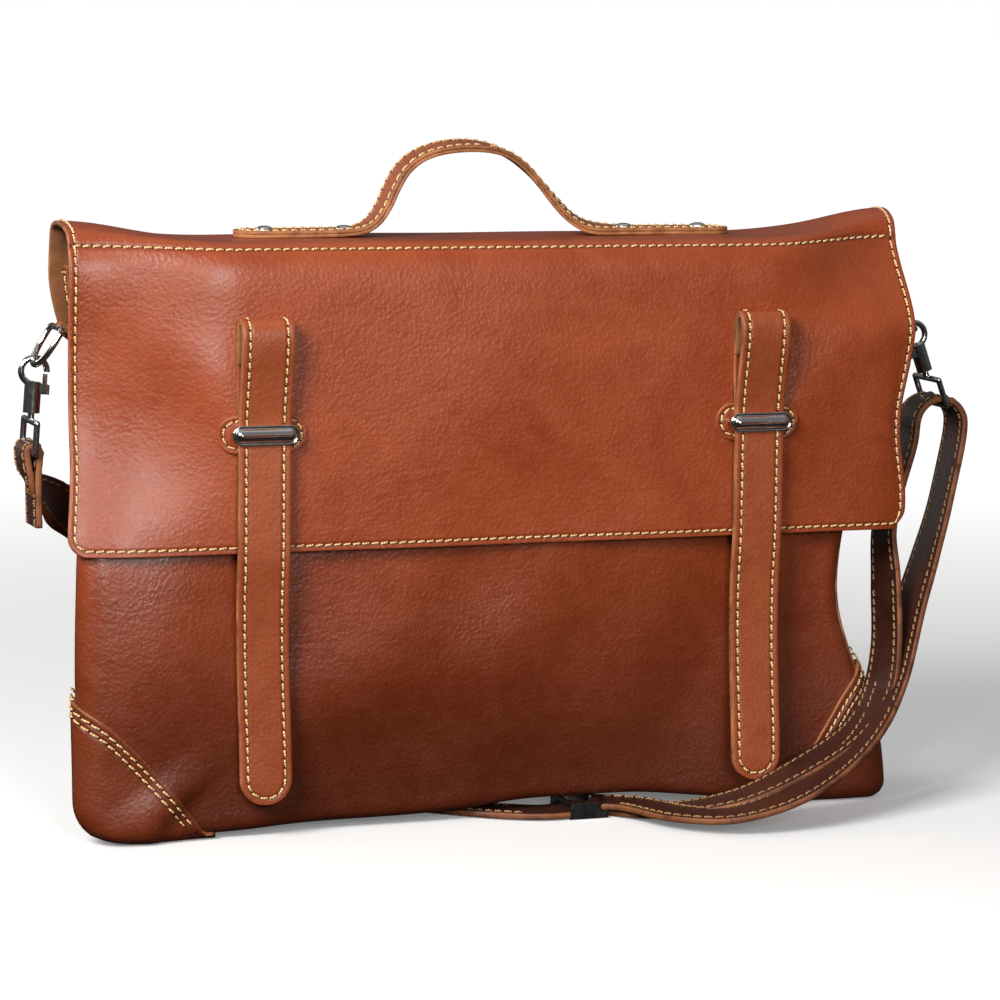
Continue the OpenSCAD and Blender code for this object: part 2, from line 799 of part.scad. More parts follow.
// The left end is folded round its eye and sewn back on itself
module left_strap_end() {
  bend_r = wire_r + 0.3 + shoulder_t / 2;
  tail_z = left_bar.z - 38;
  outer = concat(
    [[left_bar.x, tail_z], [left_bar.x + 2, left_bar.z - 12]],
    arc([left_bar.x, left_bar.z], bend_r, 0, 180, 10),
    [[left_bar.x - 3, left_bar.z - 12], [left_bar.x - shoulder_t - 0.1, left_bar.z - 34]]
  );
  color(leather)
  mirror([1, 0, 0]) along_y(shoulder_w) band(outer, -shoulder_t / 2, shoulder_t / 2);
}

// Three-bar slider round the flat strap
module strap_slider() {
  bar = 2.2;
  inner_w = shoulder_w + 2.4;
  height = flat_high + shoulder_t / 2 + 1.2 - (flat_low - shoulder_t / 2 - 0.5);
  low = flat_low - shoulder_t / 2 - 0.5;
  length = 20;
  color(metal)
  translate([slider_at.x - 1, slider_at.y, 0]) {
    for (e = [-1, 1]) translate([-length / 2, e * (inner_w + bar) / 2 - bar / 2, low])
      cube([length, bar, height]);
    for (x = [-length / 2, length / 2 - bar]) translate([x, -inner_w / 2 - eps, flat_high + shoulder_t / 2 + 0.2])
      cube([bar, inner_w + 2 * eps, 1]);
    translate([-bar / 2, -inner_w / 2 - eps, flat_low + shoulder_t / 2 + 0.1])
      cube([bar, inner_w + 2 * eps, 1]);
  }
}

// ---------------------------------------------------------------- nodes

front_panel();
back_panel();
bottom_panel();
left_gusset();
right_gusset();
front_left_corner_patch();
front_right_corner_patch();
back_left_corner_patch();
back_right_corner_patch();
base_board();
lining();
padded_divider();
slip_pocket();
snap_sockets();
left_ring_tab();
right_ring_tab();
tab_rivets();
shoulder_strap_right_run();
shoulder_strap_return_run();
shoulder_strap_floor_run();
shoulder_strap_left_run();
strap_slider();
flap_top();
handle_backing();
handle_lower_layer();
handle_upper_layer();
handle_rivets();
flap_front();
flap_facing();
left_keeper_patch();
right_keeper_patch();
left_keeper();
right_keeper();
left_strap_loop();
right_strap_loop();
left_closure_strap();
right_closure_strap();
left_snap_plug();
right_snap_plug();
left_d_ring();
right_d_ring();
left_swivel_eye();
right_swivel_eye();
left_strap_end();
right_strap_end();
left_snap_hook();
right_snap_hook();
left_hook_gate();
right_hook_gate();
left_gate_pin();
right_gate_pin();
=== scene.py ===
import json
import math

import bpy
import numpy as np
from mathutils import Matrix, Vector


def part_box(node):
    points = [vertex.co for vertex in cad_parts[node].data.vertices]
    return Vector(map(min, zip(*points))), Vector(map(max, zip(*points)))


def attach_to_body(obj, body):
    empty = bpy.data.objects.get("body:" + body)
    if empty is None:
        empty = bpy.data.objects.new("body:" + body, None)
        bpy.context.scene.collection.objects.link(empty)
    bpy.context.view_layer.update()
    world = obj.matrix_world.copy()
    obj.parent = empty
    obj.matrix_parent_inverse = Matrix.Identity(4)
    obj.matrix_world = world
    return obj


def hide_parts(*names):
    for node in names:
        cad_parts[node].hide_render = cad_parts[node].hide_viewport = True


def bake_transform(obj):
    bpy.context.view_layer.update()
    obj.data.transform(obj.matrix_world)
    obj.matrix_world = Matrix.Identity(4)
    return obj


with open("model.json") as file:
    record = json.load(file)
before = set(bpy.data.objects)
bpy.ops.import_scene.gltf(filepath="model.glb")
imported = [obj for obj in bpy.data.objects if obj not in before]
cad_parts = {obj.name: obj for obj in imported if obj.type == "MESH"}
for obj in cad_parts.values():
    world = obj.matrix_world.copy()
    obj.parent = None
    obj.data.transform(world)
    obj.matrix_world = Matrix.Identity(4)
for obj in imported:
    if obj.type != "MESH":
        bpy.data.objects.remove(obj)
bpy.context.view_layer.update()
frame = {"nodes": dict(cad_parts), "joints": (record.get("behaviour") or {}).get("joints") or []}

MM = 0.001  # the frame is in metres, the shapes below in millimetres
PITCH = 4.65  # length of one stitch and the needle hole after it
STITCH_INSET = 2.8  # from a cut edge to its row of stitches
FAR = 99.0  # seam distance where there is no seam


# ---------------------------------------------------------------- numbers from the frame

def corners(node):
    """Low and high corner of a CAD node's box, in millimetres."""
    low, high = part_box(node)
    return np.array(low) / MM, np.array(high) / MM


PATCH_HIGH = corners("front_right_corner_patch")[1]
FRONT_HIGH = corners("front_panel")[1]
GUSSET_HIGH = corners("right_gusset")[1]
BACK_LOW, BACK_HIGH = corners("back_panel")
FLAP_LOW, FLAP_HIGH = corners("flap_front")
KEEPER_LOW, KEEPER_HIGH = corners("right_keeper")
KEEPER_PATCH_LOW, KEEPER_PATCH_HIGH = corners("right_keeper_patch")
TAIL_LOW, TAIL_HIGH = corners("right_closure_strap")
LOOP_HIGH = corners("right_strap_loop")[1]
LOWER_LOW, LOWER_HIGH = corners("handle_lower_layer")
LINING_LOW, LINING_HIGH = corners("lining")
DIVIDER_LOW, DIVIDER_HIGH = corners("padded_divider")
POCKET_LOW, POCKET_HIGH = corners("slip_pocket")

SKIN = FLAP_HIGH[1] - FLAP_LOW[1]  # leather thickness
CREASE_Z = FLAP_HIGH[2] + 3  # height of the flap's front crease
TOP_Z = CREASE_Z + 5  # height of the flap's stretch over the top
FLAP_HALF = FLAP_HIGH[0]  # half width of the flap
CLOSURE_X = (TAIL_LOW[0] + TAIL_HIGH[0]) / 2  # middle of a closure strap
CLOSURE_W = TAIL_HIGH[0] - TAIL_LOW[0]  # width of a closure strap
KEEPER_Z = (KEEPER_LOW[2] + KEEPER_HIGH[2]) / 2     # height of the keeper bars
SIDES = {1: "right", -1: "left"}  # which way x points, and the name it gives a piece
JOINTS = {j["name"]: j for j in frame["joints"]}


def joint_place(name):
    """Where a joint's pivot is, in millimetres."""
    return np.array(JOINTS[name]["pos_m"]) / MM


# ---------------------------------------------------------------- small maths

def smooth(a, b, x):
    """0 at a, 1 at b and an even S between them; a may be the larger."""
    t = np.clip((np.asarray(x, float) - a) / (b - a), 0, 1)
    return t * t * (3 - 2 * t)


def hill(x, centre, width):
    """A bump of height 1 at the centre."""
    return np.exp(-((np.asarray(x, float) - centre) / width) ** 2)


def unit(v):
    """The same vectors, each one unit long."""
    return v / np.maximum(np.linalg.norm(v, axis=-1, keepdims=True), 1e-9)


def soft_noise(x, y, size, seed, waves=14):
    """Smooth, repeatable noise of about one unit, with bumps of about the given size."""
    rng = np.random.default_rng(seed)
    total = 0
    for _ in range(waves):
        angle = rng.uniform(0, math.tau)
        k = rng.uniform(0.6, 1.5) * math.pi / size
        phase = rng.uniform(0, math.tau)
        total = total + np.sin(k * (x * math.cos(angle) + y * math.sin(angle)) + phase)
    return total / math.sqrt(waves / 2)


def spline(points, count):
    """Evenly spaced points on a smooth curve through the given ones."""
    p = np.array(points, float)
    p = np.vstack([2 * p[0] - p[1], p, 2 * p[-1] - p[-2]])
    steps = 24
    t = np.linspace(0, 1, steps, endpoint=False)[:, None]
    rows = []
    for i in range(1, len(p) - 2):
        a, b, c, d = p[i - 1], p[i], p[i + 1], p[i + 2]
        rows.append(0.5 * (2 * b + t * (c - a) + t ** 2 * (2 * a - 5 * b + 4 * c - d)
                           + t ** 3 * (3 * b - a - 3 * c + d)))
    return resample(np.vstack(rows + [p[-2:-1]]), count)


def lengths_along(points):
    """Distance from the start of a polyline to each of its points."""
    return np.concatenate([[0], np.cumsum(np.linalg.norm(np.diff(points, axis=0), axis=1))])


def resample(points, count):
    """The polyline again, as evenly spaced points."""
    s = lengths_along(points)
    at = np.linspace(0, s[-1], count)
    return np.stack([np.interp(at, s, points[:, k]) for k in range(points.shape[1])], 1)


def fill(start, stop, step):
    """Evenly spaced positions from start to stop, about a step apart."""
    count = max(2, int(round(abs(stop - start) / step)) + 1)
    return np.linspace(start, stop, count)


def edged(start, stop, step, fine=0.9, margin=5.0):
    """Positions from start to stop, closer together near both ends."""
    return np.concatenate([
        fill(start, start + margin, fine)[:-1],
        fill(start + margin, stop - margin, step),
        fill(stop - margin, stop, fine)[1:],
    ])


def grid(us, vs):
    """Two tables of pattern coordinates, one for each direction."""
    return np.meshgrid(us, vs, indexing="ij")


# ---------------------------------------------------------------- meshes

def make_mesh(name, points, faces, materials, slots=None, attributes=None):
    """An object from millimetre points; attributes are point floats, slots one number a face."""
    mesh = bpy.data.meshes.new(name)
    mesh.from_pydata((np.asarray(points, float) * MM).tolist(), [], faces)
    for material in materials:
        mesh.materials.append(material)
    if slots is not None:
        mesh.polygons.foreach_set("material_index", np.asarray(slots, np.int32))
    mesh.polygons.foreach_set("use_smooth", [True] * len(mesh.polygons))
    for key, values in (attributes or {}).items():
        layer = mesh.attributes.new(key, "FLOAT", "POINT")
        layer.data.foreach_set("value", np.asarray(values, np.float32))
    mesh.validate()
    mesh.update()
    piece = bpy.data.objects.new(name, mesh)
    bpy.context.scene.collection.objects.link(piece)
    return piece


def attach(piece, body, slot, *nodes):
    """Puts a piece on a body, or only bakes its transform when given a bend (a, b, start, stop), and hides
    the CAD it replaces; slot is not used.
    """
    if isinstance(body, str):
        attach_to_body(piece, body)
    else:
        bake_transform(piece)
    if nodes:
        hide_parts(*nodes)
    return piece


def join_parts(parts):
    """Stacks (points, faces) parts into one."""
    points, faces, base = [], [], 0
    for p, f in parts:
        points.append(np.asarray(p, float))
        faces += [[i + base for i in face] for face in f]
        base += len(p)
    return np.vstack(points), faces


def grid_faces(m, n, base=0, close_m=False, close_n=False, flip=False):
    """Four-sided faces over m rows of n points; closed directions join their last row to the first."""
    faces = []
    for i in range(m if close_m else m - 1):
        for j in range(n if close_n else n - 1):
            a = base + i * n + j
            b = base + ((i + 1) % m) * n + j
            c = base + ((i + 1) % m) * n + (j + 1) % n
            d = base + i * n + (j + 1) % n
            faces.append([a, d, c, b] if flip else [a, b, c, d])
    return faces


def ring_faces(rings, around, flip=False):
    """Faces over a stack of closed rings, with a flat cap on each end."""
    first = list(range(around))
    last = [(rings - 1) * around + k for k in first]
    faces = grid_faces(rings, around, close_n=True, flip=flip)
    faces.append(first if flip else first[::-1])
    faces.append(last[::-1] if flip else last)
    return faces


def frames_along(path, closed=False):
    """Side and up vectors along a 3-D path, turning as little as possible."""
    ahead = np.roll(path, -1, 0) - np.roll(path, 1, 0)
    if not closed:
        ahead[0] = path[1] - path[0]
        ahead[-1] = path[-1] - path[-2]
    ahead = unit(ahead)
    up = np.array([0.0, 0.0, 1.0]) if abs(ahead[0][2]) < 0.9 else np.array([0.0, 1.0, 0.0])
    sides, ups = [], []
    for t in ahead:
        up = unit(up - t * (up @ t))
        ups.append(up)
        sides.append(np.cross(t, up))
    return np.array(sides), np.array(ups)


def tube(path, radius, around, closed=False):
    """A round bar along a path."""
    path = np.asarray(path, float)
    side, up = frames_along(path, closed)
    a = np.linspace(0, math.tau, around, endpoint=False)[None, :, None]
    points = path[:, None] + radius * (np.cos(a) * side[:, None] + np.sin(a) * up[:, None])
    if closed:
        faces = grid_faces(len(path), around, close_m=True, close_n=True, flip=True)
    else:
        faces = ring_faces(len(path), around, flip=True)
    return points.reshape(-1, 3), faces


def lathe(profile, place, axis, around=28):
    """A solid of revolution: profile is (radius, height) from the axis round to the axis."""
    axis = unit(np.asarray(axis, float))
    aslant = (0.31, 0.87, 0.41)  # not along any axis that is used
    side = unit(np.cross(axis, aslant))
    other = np.cross(axis, side)
    a = np.linspace(0, math.tau, around, endpoint=False)
    ring = np.cos(a)[:, None] * side + np.sin(a)[:, None] * other
    points = [np.asarray(place) + r * ring + h * axis for r, h in profile]
    return np.vstack(points), ring_faces(len(profile), around)


# ---------------------------------------------------------------- leather sheets

class Skin:
    """A surface with flat pattern coordinates (u, v) in millimetres, kept as a dense table."""

    def __init__(self, us, vs, points):
        self.us, self.vs, self.points = us, vs, points

    def turned(self):
        """The same surface seen from its other side, with u counted the other way."""
        return Skin(self.us, self.vs, self.points[::-1])

    def at(self, u, v):
        """The points of the surface at pattern coordinates u and v."""
        u, v = np.broadcast_arrays(np.asarray(u, float), np.asarray(v, float))
        fu = np.interp(u, self.us, np.arange(len(self.us)))
        fv = np.interp(v, self.vs, np.arange(len(self.vs)))
        i = np.clip(fu.astype(int), 0, len(self.us) - 2)
        j = np.clip(fv.astype(int), 0, len(self.vs) - 2)
        a, b = (fu - i)[..., None], (fv - j)[..., None]
        p = self.points
        return ((1 - a) * (1 - b) * p[i, j] + a * (1 - b) * p[i + 1, j]
                + (1 - a) * b * p[i, j + 1] + a * b * p[i + 1, j + 1])

    def normal(self, u, v, step=1.5):
        """The directions straight out of the surface on its grain side."""
        du = self.at(u + step, v) - self.at(u - step, v)
        dv = self.at(u, v + step) - self.at(u, v - step)
        return unit(np.cross(du, dv))


def seam_field(u, v, line):
    """Signed distance from each (u, v) to a seam's polyline, and how far along the nearest point is."""
    a, b = line[:-1], line[1:]
    d = b - a
    run = lengths_along(line)
    p = np.stack([u.ravel(), v.ravel()], 1)
    best = np.full(len(p), 1e9)
    sign = np.ones(len(p))
    along = np.zeros(len(p))
    for k in range(len(a)):
        w = p - a[k]
        t = np.clip((w @ d[k]) / max(d[k] @ d[k], 1e-9), 0, 1)
        off = w - t[:, None] * d[k]
        dist = np.hypot(off[:, 0], off[:, 1])
        near = dist < best - 1e-9
        best[near] = dist[near]
        sign[near] = np.sign(d[k][0] * w[:, 1] - d[k][1] * w[:, 0])[near]
        along[near] = (run[k] + t * np.linalg.norm(d[k]))[near]
    sign[sign == 0] = 1
    return np.minimum(best, FAR) * sign, along


def sheet(name, skin, u, v, low, high, materials, seams=(), open_sides=()):
    """Leather of some thickness on a skin, between two heights over it, with a rounded cut edge.

    u and v are tables of pattern coordinates. Materials are grain, back and cut edge. open_sides names
    the sides that butt against the next piece and get a plain flat end: u0, u1, v0 or v1.
    """
    m, n = u.shape
    base, normal = skin.at(u, v), skin.normal(u, v)
    upper = (base + normal * high).reshape(-1, 3)
    lower = (base + normal * low).reshape(-1, 3)
    index = np.arange(m * n).reshape(m, n)
    border = np.concatenate([index[:-1, 0], index[-1, :-1], index[:0:-1, -1], index[0, :0:-1]])
    inside = np.concatenate([index[:-1, 1], index[-2, :-1], index[:0:-1, -2], index[1, :0:-1]])
    side = np.concatenate([["v0"] * (m - 1), ["u1"] * (n - 1), ["v1"] * (m - 1), ["u0"] * (n - 1)])
    edge_swell = 0.16 * (high - low)  # how far the cut edge stands out
    swell = np.where(np.isin(side, open_sides), 0.0, edge_swell)[:, None]
    out = unit(upper[border] - upper[inside])
    rows = []
    for share, proud in ((0.14, 0.75), (0.5, 1.0), (0.86, 0.75)):
        rows.append(upper[border] * (1 - share) + lower[border] * share + out * swell * proud)
    points = np.vstack([upper, lower] + rows)
    count = len(border)
    rings = [border] + [2 * m * n + k * count + np.arange(count) for k in range(len(rows))] + [m * n + border]
    faces = grid_faces(m, n) + grid_faces(m, n, base=m * n, flip=True)
    slots = [0] * ((m - 1) * (n - 1)) + [1] * ((m - 1) * (n - 1))
    for near, far in zip(rings[:-1], rings[1:]):
        for k in range(count):
            q = (k + 1) % count
            faces.append([int(near[k]), int(far[k]), int(far[q]), int(near[q])])
            slots.append(2)
    attributes = {}
    for letter, line in zip("ab", list(seams) + [None] * (2 - len(seams))):
        if line is None:
            gap, run = np.full(m * n, FAR), np.zeros(m * n)
        else:
            gap, run = seam_field(u, v, line)
        pad = np.full(len(points) - 2 * m * n, FAR)
        attributes["seam_" + letter] = np.concatenate([gap, gap, pad])
        attributes["run_" + letter] = np.concatenate([run, run, pad])
    piece = make_mesh(name, points, faces, materials, slots, attributes)
    if open_sides:
        flat = np.isin(side, open_sides)
        ends = {int(i) for i in border[flat]} | {int(i) for i in np.roll(border, -1)[flat]}
        ends |= {i + m * n for i in ends}
        for edge in piece.data.edges:
            if edge.vertices[0] in ends and edge.vertices[1] in ends:
                edge.use_edge_sharp = True
    return piece


def stitches(name, skin, line, height, thread, keep=None):
    """A row of lock stitches along a seam line, lying on the skin at the given height."""
    half = 0.5 * PITCH * 0.76  # half length of the thread that shows
    slant, slant_change = 0.22, 0.06  # lean of a stitch across its row, and how it varies
    proud, dip, height_change = 0.30, 0.62, 0.02    # height of the thread, and its drop at both ends
    radius, flat, taper = 0.54, 0.85, 0.30  # of the thread's section
    twist_share = 0.16  # of the plies' turn round the thread
    run = lengths_along(line)
    count = int(run[-1] / PITCH)
    bow = np.linspace(-1, 1, 7)
    around = 7
    a = np.linspace(0, math.tau, around, endpoint=False)
    faces = ring_faces(len(bow), around, flip=True)
    rng = np.random.default_rng(len(name) + count)
    parts, twist = [], []
    for k in range(count):
        at = (k + 0.5) * PITCH + bow * half
        u = np.interp(at, run, line[:, 0])
        v = np.interp(at, run, line[:, 1])
        if keep is not None and not keep(u[3], v[3]):
            continue
        along = np.array([u[-1] - u[0], v[-1] - v[0]])
        along /= max(np.linalg.norm(along), 1e-9)
        lean = (slant + rng.normal(0, slant_change)) * bow
        u, v = u - along[1] * lean, v + along[0] * lean
        rise = height + proud - dip * bow ** 4 + rng.normal(0, height_change)
        up = skin.normal(u, v)
        path = skin.at(u, v) + up * rise[:, None]
        ahead = unit(np.gradient(path, axis=0))
        side = unit(np.cross(ahead, up))
        up = np.cross(side, ahead)
        thick = radius * (1 - taper * bow ** 4)
        ring = np.cos(a)[None, :, None] * side[:, None] + flat * np.sin(a)[None, :, None] * up[:, None]
        parts.append(((path[:, None] + thick[:, None, None] * ring).reshape(-1, 3), faces))
        twist.append((bow[:, None] * half + a[None, :] * twist_share).ravel())
    points, faces = join_parts(parts)
    return make_mesh(name, points, faces, [thread], attributes={"twist": np.concatenate(twist)})


def rounded_grid(half, start, stop, start_radius, stop_radius, step_u, step_v):
    """Pattern grid of a strap or panel from v = start to stop, with rounded corners at its ends."""
    vs, widths = [], []
    first_angle = 0.10  # keeps the very end from closing to a point
    angle = np.linspace(first_angle, math.pi / 2, 9)
    body_start, body_stop = start + start_radius, stop - stop_radius
    if start_radius:
        vs.append((start + start_radius * (1 - np.cos(angle)))[:-1])
        widths.append((half - start_radius + start_radius * np.sin(angle))[:-1])
    body = fill(body_start, body_stop, step_v)
    vs.append(body)
    widths.append(np.full(len(body), half))
    if stop_radius:
        vs.append((stop - stop_radius * (1 - np.cos(angle)))[::-1][1:])
        widths.append((half - stop_radius + stop_radius * np.sin(angle))[::-1][1:])
    vs, widths = np.concatenate(vs), np.concatenate(widths)
    across = edged(-half, half, step_u, fine=1.0, margin=min(4.0, half / 3)) / half
    return across[:, None] * widths[None, :], np.broadcast_to(vs, (len(across), len(vs))).copy()


def tongue_seam(half, start, stop, radius, inset, both=False):
    """Stitch line round a strap: down one edge, round the end and back up the other."""
    h, r = half - inset, radius - inset
    angle = np.linspace(0, math.pi / 2, 12)
    right = [(h - r + r * math.cos(a), stop - inset - r + r * math.sin(a)) for a in angle]
    left = [(-x, y) for x, y in reversed(right)]
    if both:
        middle = [(h, (start + stop) / 2)]
        low = [(x, start + stop - y) for x, y in reversed(right + left)]
        return np.array(middle + right + left + low + middle)
    return np.array([(h, start)] + right + left + [(-h, start)])


def offset_line(line, distance):
    """The polyline moved sideways, to its left."""
    d = unit(np.gradient(line, axis=0))
    return line + distance * np.stack([-d[:, 1], d[:, 0]], 1)


def strap_skin(path, across, half):
    """Skin along a 3-D path with given width directions; its grain side is across x along."""
    path = np.asarray(path, float)
    run = lengths_along(path)
    vs = fill(0, run[-1], 2.0)
    middle = np.stack([np.interp(vs, run, path[:, k]) for k in range(3)], 1)
    side = np.asarray(across, float)
    if side.ndim == 1:
        side = np.broadcast_to(side, path.shape)
    side = unit(np.stack([np.interp(vs, run, side[:, k]) for k in range(3)], 1))
    ahead = unit(np.gradient(middle, axis=0))
    side = unit(side - ahead * np.sum(side * ahead, 1)[:, None])
    margin = 4
    us = fill(-half - margin, half + margin, 2.0)
    return Skin(us, vs, middle[None] + us[:, None, None] * side[None])


# ---------------------------------------------------------------- how the soft case sags

ARCH_FLAT, ARCH_END = 105.0, 150.0  # from the middle, where the underside comes down
CORNER_LIFT = BACK_LOW[2]  # the case stands on its patches, this far up
CORNER_ROUND = 19.0  # radius of the slack lower left corner


def thinning(x, z, right, left, right_start):
    """How much of its depth the case loses near its two ends."""
    high = np.where(x > 0, smooth(right_start, 287, z), smooth(125, 215, z))
    return np.where(x > 0, right, left) * smooth(135, 212, np.abs(x)) * high


def slump(p):
    """Soft sag of the case: thin ends with a high ridge, a waist, a hollow side and one slack corner."""
    x, y, z = p[..., 0], p[..., 1], p[..., 2]
    front = thinning(x, z, 0.60, 0.38, 236)
    back = thinning(x, z, 0.52, 0.58, 170)
    arch = np.clip(1 - (y / 45.0) ** 2, 0, 1) ** 0.7 * smooth(CREASE_Z - 1, CREASE_Z + 4, z)
    end_rise = np.where(x > 0, 12.5, 8.5)  # of the top's ridge at its right and left end
    pinch_depth, hollow_depth, spread_width = 27, 30, 4.2
    rise = end_rise * smooth(132, 214, np.abs(x)) * arch
    waist = np.where(z < 112, hill(z, 112, 58), hill(z, 112, 95)) * smooth(255, 200, z)
    pinch = pinch_depth * waist * smooth(70, 212, x) ** 1.4 * smooth(-44.0, -40.5, y)
    hollow = hollow_depth * smooth(272, 165, z) * smooth(30, 212, -x) * smooth(-38, 34, y)
    low = np.clip(z - 3.0, 0, CORNER_ROUND)
    corner = CORNER_ROUND - np.sqrt(np.maximum(CORNER_ROUND ** 2 - (CORNER_ROUND - low) ** 2, 0))
    moved = np.array(p, float, copy=True)
    spread = spread_width * smooth(110, 212, -x) * smooth(190, 130, z)
    moved[..., 0] = x - pinch + hollow - spread + 0.95 * corner * smooth(150, 212, -x)
    moved[..., 1] = y * (1 - np.where(y < 0, front, back))
    moved[..., 2] = z + rise
    return moved


# ---------------------------------------------------------------- the case's skins

PANEL_Y = BACK_HIGH[1]  # outer face of the front and back
PANEL_X = GUSSET_HIGH[0]  # outer face of the sides
CORNER_R = 12.0  # radius of the upright corners
FOOT_R = 6.0  # radius where the front turns under
FOOT_V = FOOT_R * math.pi / 2  # pattern height where the panel turns upright


def plan_path():
    """Half of the front's plan outline, from the middle round the right corner on to the side."""
    angle = np.radians(np.linspace(-90, -12, 14))
    cx, cy = PANEL_X - CORNER_R, -PANEL_Y + CORNER_R
    arc = np.stack([cx + CORNER_R * np.cos(angle), cy + CORNER_R * np.sin(angle)], 1)
    last = arc[-1] + 24 * np.array([-math.sin(math.radians(12)), math.cos(math.radians(12))])
    return np.vstack([[0, -PANEL_Y], arc, last])


PLAN = plan_path()
PLAN_RUN = lengths_along(PLAN)
CORNER_U = PLAN_RUN[-2]  # pattern width at the case's outermost point
SIDE_U = CORNER_U + 7  # the panel's side edge
PATCH_REACH = 64.0  # width of a corner patch from that outermost point


def lift(x):
    """Height of the underside: it arches between the corners, most of all over the strap's slider."""
    beyond = np.maximum(np.abs(x - 44) - 20, 0)
    return CORNER_LIFT + 1.6 * (1 - smooth(ARCH_FLAT, ARCH_END, np.abs(x))) + 4.8 * hill(beyond, 0, 40)


def front_bulge(x, z):
    """How far the front panel swells outward, away from the snaps of the closure straps."""
    calm = 1 - hill(x, CLOSURE_X, 26) - hill(x, -CLOSURE_X, 26)
    ripple = 0.7 * soft_noise(x, z, 46, 5) * smooth(215, 150, np.abs(x))
    lump = 4.5 * hill(x, -172, 34) * hill(z, 84, 46) - 4.0 * hill(x, 172, 36) * hill(z, 92, 50)
    swell = 3.0 * hill(x, 0, 120) * hill(z, 125, 70)
    off = (x + 187) * 0.63 - (z - 2) * 0.777
    along = (x + 187) * 0.777 + (z - 2) * 0.63
    crease = 3.6 * smooth(-18, 0, off) * smooth(10, 0, off) * hill(along, 20, 26)
    tuck = -8 * smooth(78, 0, z) * smooth(185, 120, np.abs(x)) * (0.35 + 0.65 * np.clip(calm, 0, 1))
    return (ripple * smooth(10, 50, z) + swell) * np.clip(calm, 0, 1) + lump + crease + tuck


def panel_points(u, v, bulge, mirror_y):
    """Points of the front or back panel, which wraps round both upright corners and the foot."""
    side = np.sign(u)
    x = np.interp(np.abs(u), PLAN_RUN, PLAN[:, 0])
    y = np.interp(np.abs(u), PLAN_RUN, PLAN[:, 1])
    nx = np.interp(np.abs(u), PLAN_RUN, np.gradient(PLAN[:, 1], PLAN_RUN))
    ny = -np.interp(np.abs(u), PLAN_RUN, np.gradient(PLAN[:, 0], PLAN_RUN))
    size = np.hypot(nx, ny)
    nx, ny = nx / size, ny / size
    angle = np.clip(v / FOOT_R, 0, math.pi / 2)
    inset = np.where(v < 0, FOOT_R - v, FOOT_R * (1 - np.sin(angle)))
    z = np.where(v < 0, 0, FOOT_R * (1 - np.cos(angle))) + np.maximum(v - FOOT_V, 0)
    out = bulge(side * x, z) - inset
    px = side * (x + nx * out)
    py = y + ny * out
    pz = z + lift(px)
    if mirror_y:
        px, py = -px, -py
    return slump(np.stack([px, py, pz], -1))


def panel_skin(bulge, mirror_y):
    """Skin of the front panel, or of the back panel when it is turned about."""
    us = fill(-CORNER_U - 22, CORNER_U + 22, 2.0)
    vs = fill(-30, 300, 2.0)
    u, v = grid(us, vs)
    return Skin(us, vs, panel_points(u, v, bulge, mirror_y))


def height_v(z, x=0.0):
    """Pattern height of a point on the front or back panel at the given height."""
    return z - float(lift(np.array(x))) - FOOT_R + FOOT_V


def back_bulge(x, z):
    """How far the back panel swells outward."""
    return 0.6 * soft_noise(x, z, 55, 9) * smooth(215, 150, np.abs(x)) * smooth(10, 50, z)


FRONT = panel_skin(front_bulge, False)
BACK = panel_skin(back_bulge, True)


def gusset_skin(side):
    """Skin of one side of the case, folded in along its middle."""
    us, vs = fill(-40, 40, 1.6), fill(-4, 290, 2.0)
    u, v = grid(us, vs)
    y = side * u
    fold = 8.5 * (1 - np.clip(np.abs(y) / 26, 0, 1) ** 1.25)
    wave = 0.8 * soft_noise(y, v, 30, 21 + side) * smooth(24, 8, np.abs(y))
    x = side * (PANEL_X - 3.4 - fold + wave)
    return Skin(us, vs, slump(np.stack([x, y, v + CORNER_LIFT], -1)))


def flap_path():
    """Outer face of the flap from its front lower edge over the top and down the back, as (y, z)."""
    out = -FLAP_LOW[1]
    low = FLAP_LOW[2]
    top = TOP_Z
    rear = PANEL_Y + SKIN + 0.2
    return spline([
        (-out, low), (-out, low + 30), (-out, low + 90), (-out, low + 118), (-out + 0.6, low + 130),
        (-out + 2.2, low + 138), (-out + 5.6, low + 143.4), (-out + 10.5, top - 0.5), (-28, top),
        (-10, top), (12, top), (24, top - 0.1), (rear - 9, top - 1.6), (rear - 4, top - 5.2),
        (rear - 1.4, top - 10.4), (rear, top - 18), (rear, top - 30), (rear, top - 50),
    ], 400)


FLAP_PATH = flap_path()
FLAP_RUN = lengths_along(FLAP_PATH)
FLAP_END = FLAP_RUN[-1]
CREASE_V = float(np.interp(CREASE_Z + 1.5, FLAP_PATH[:225, 1], FLAP_RUN[:225]))
SPLIT_V = float(np.interp(2.0, FLAP_PATH[100:330, 0], FLAP_RUN[100:330]))


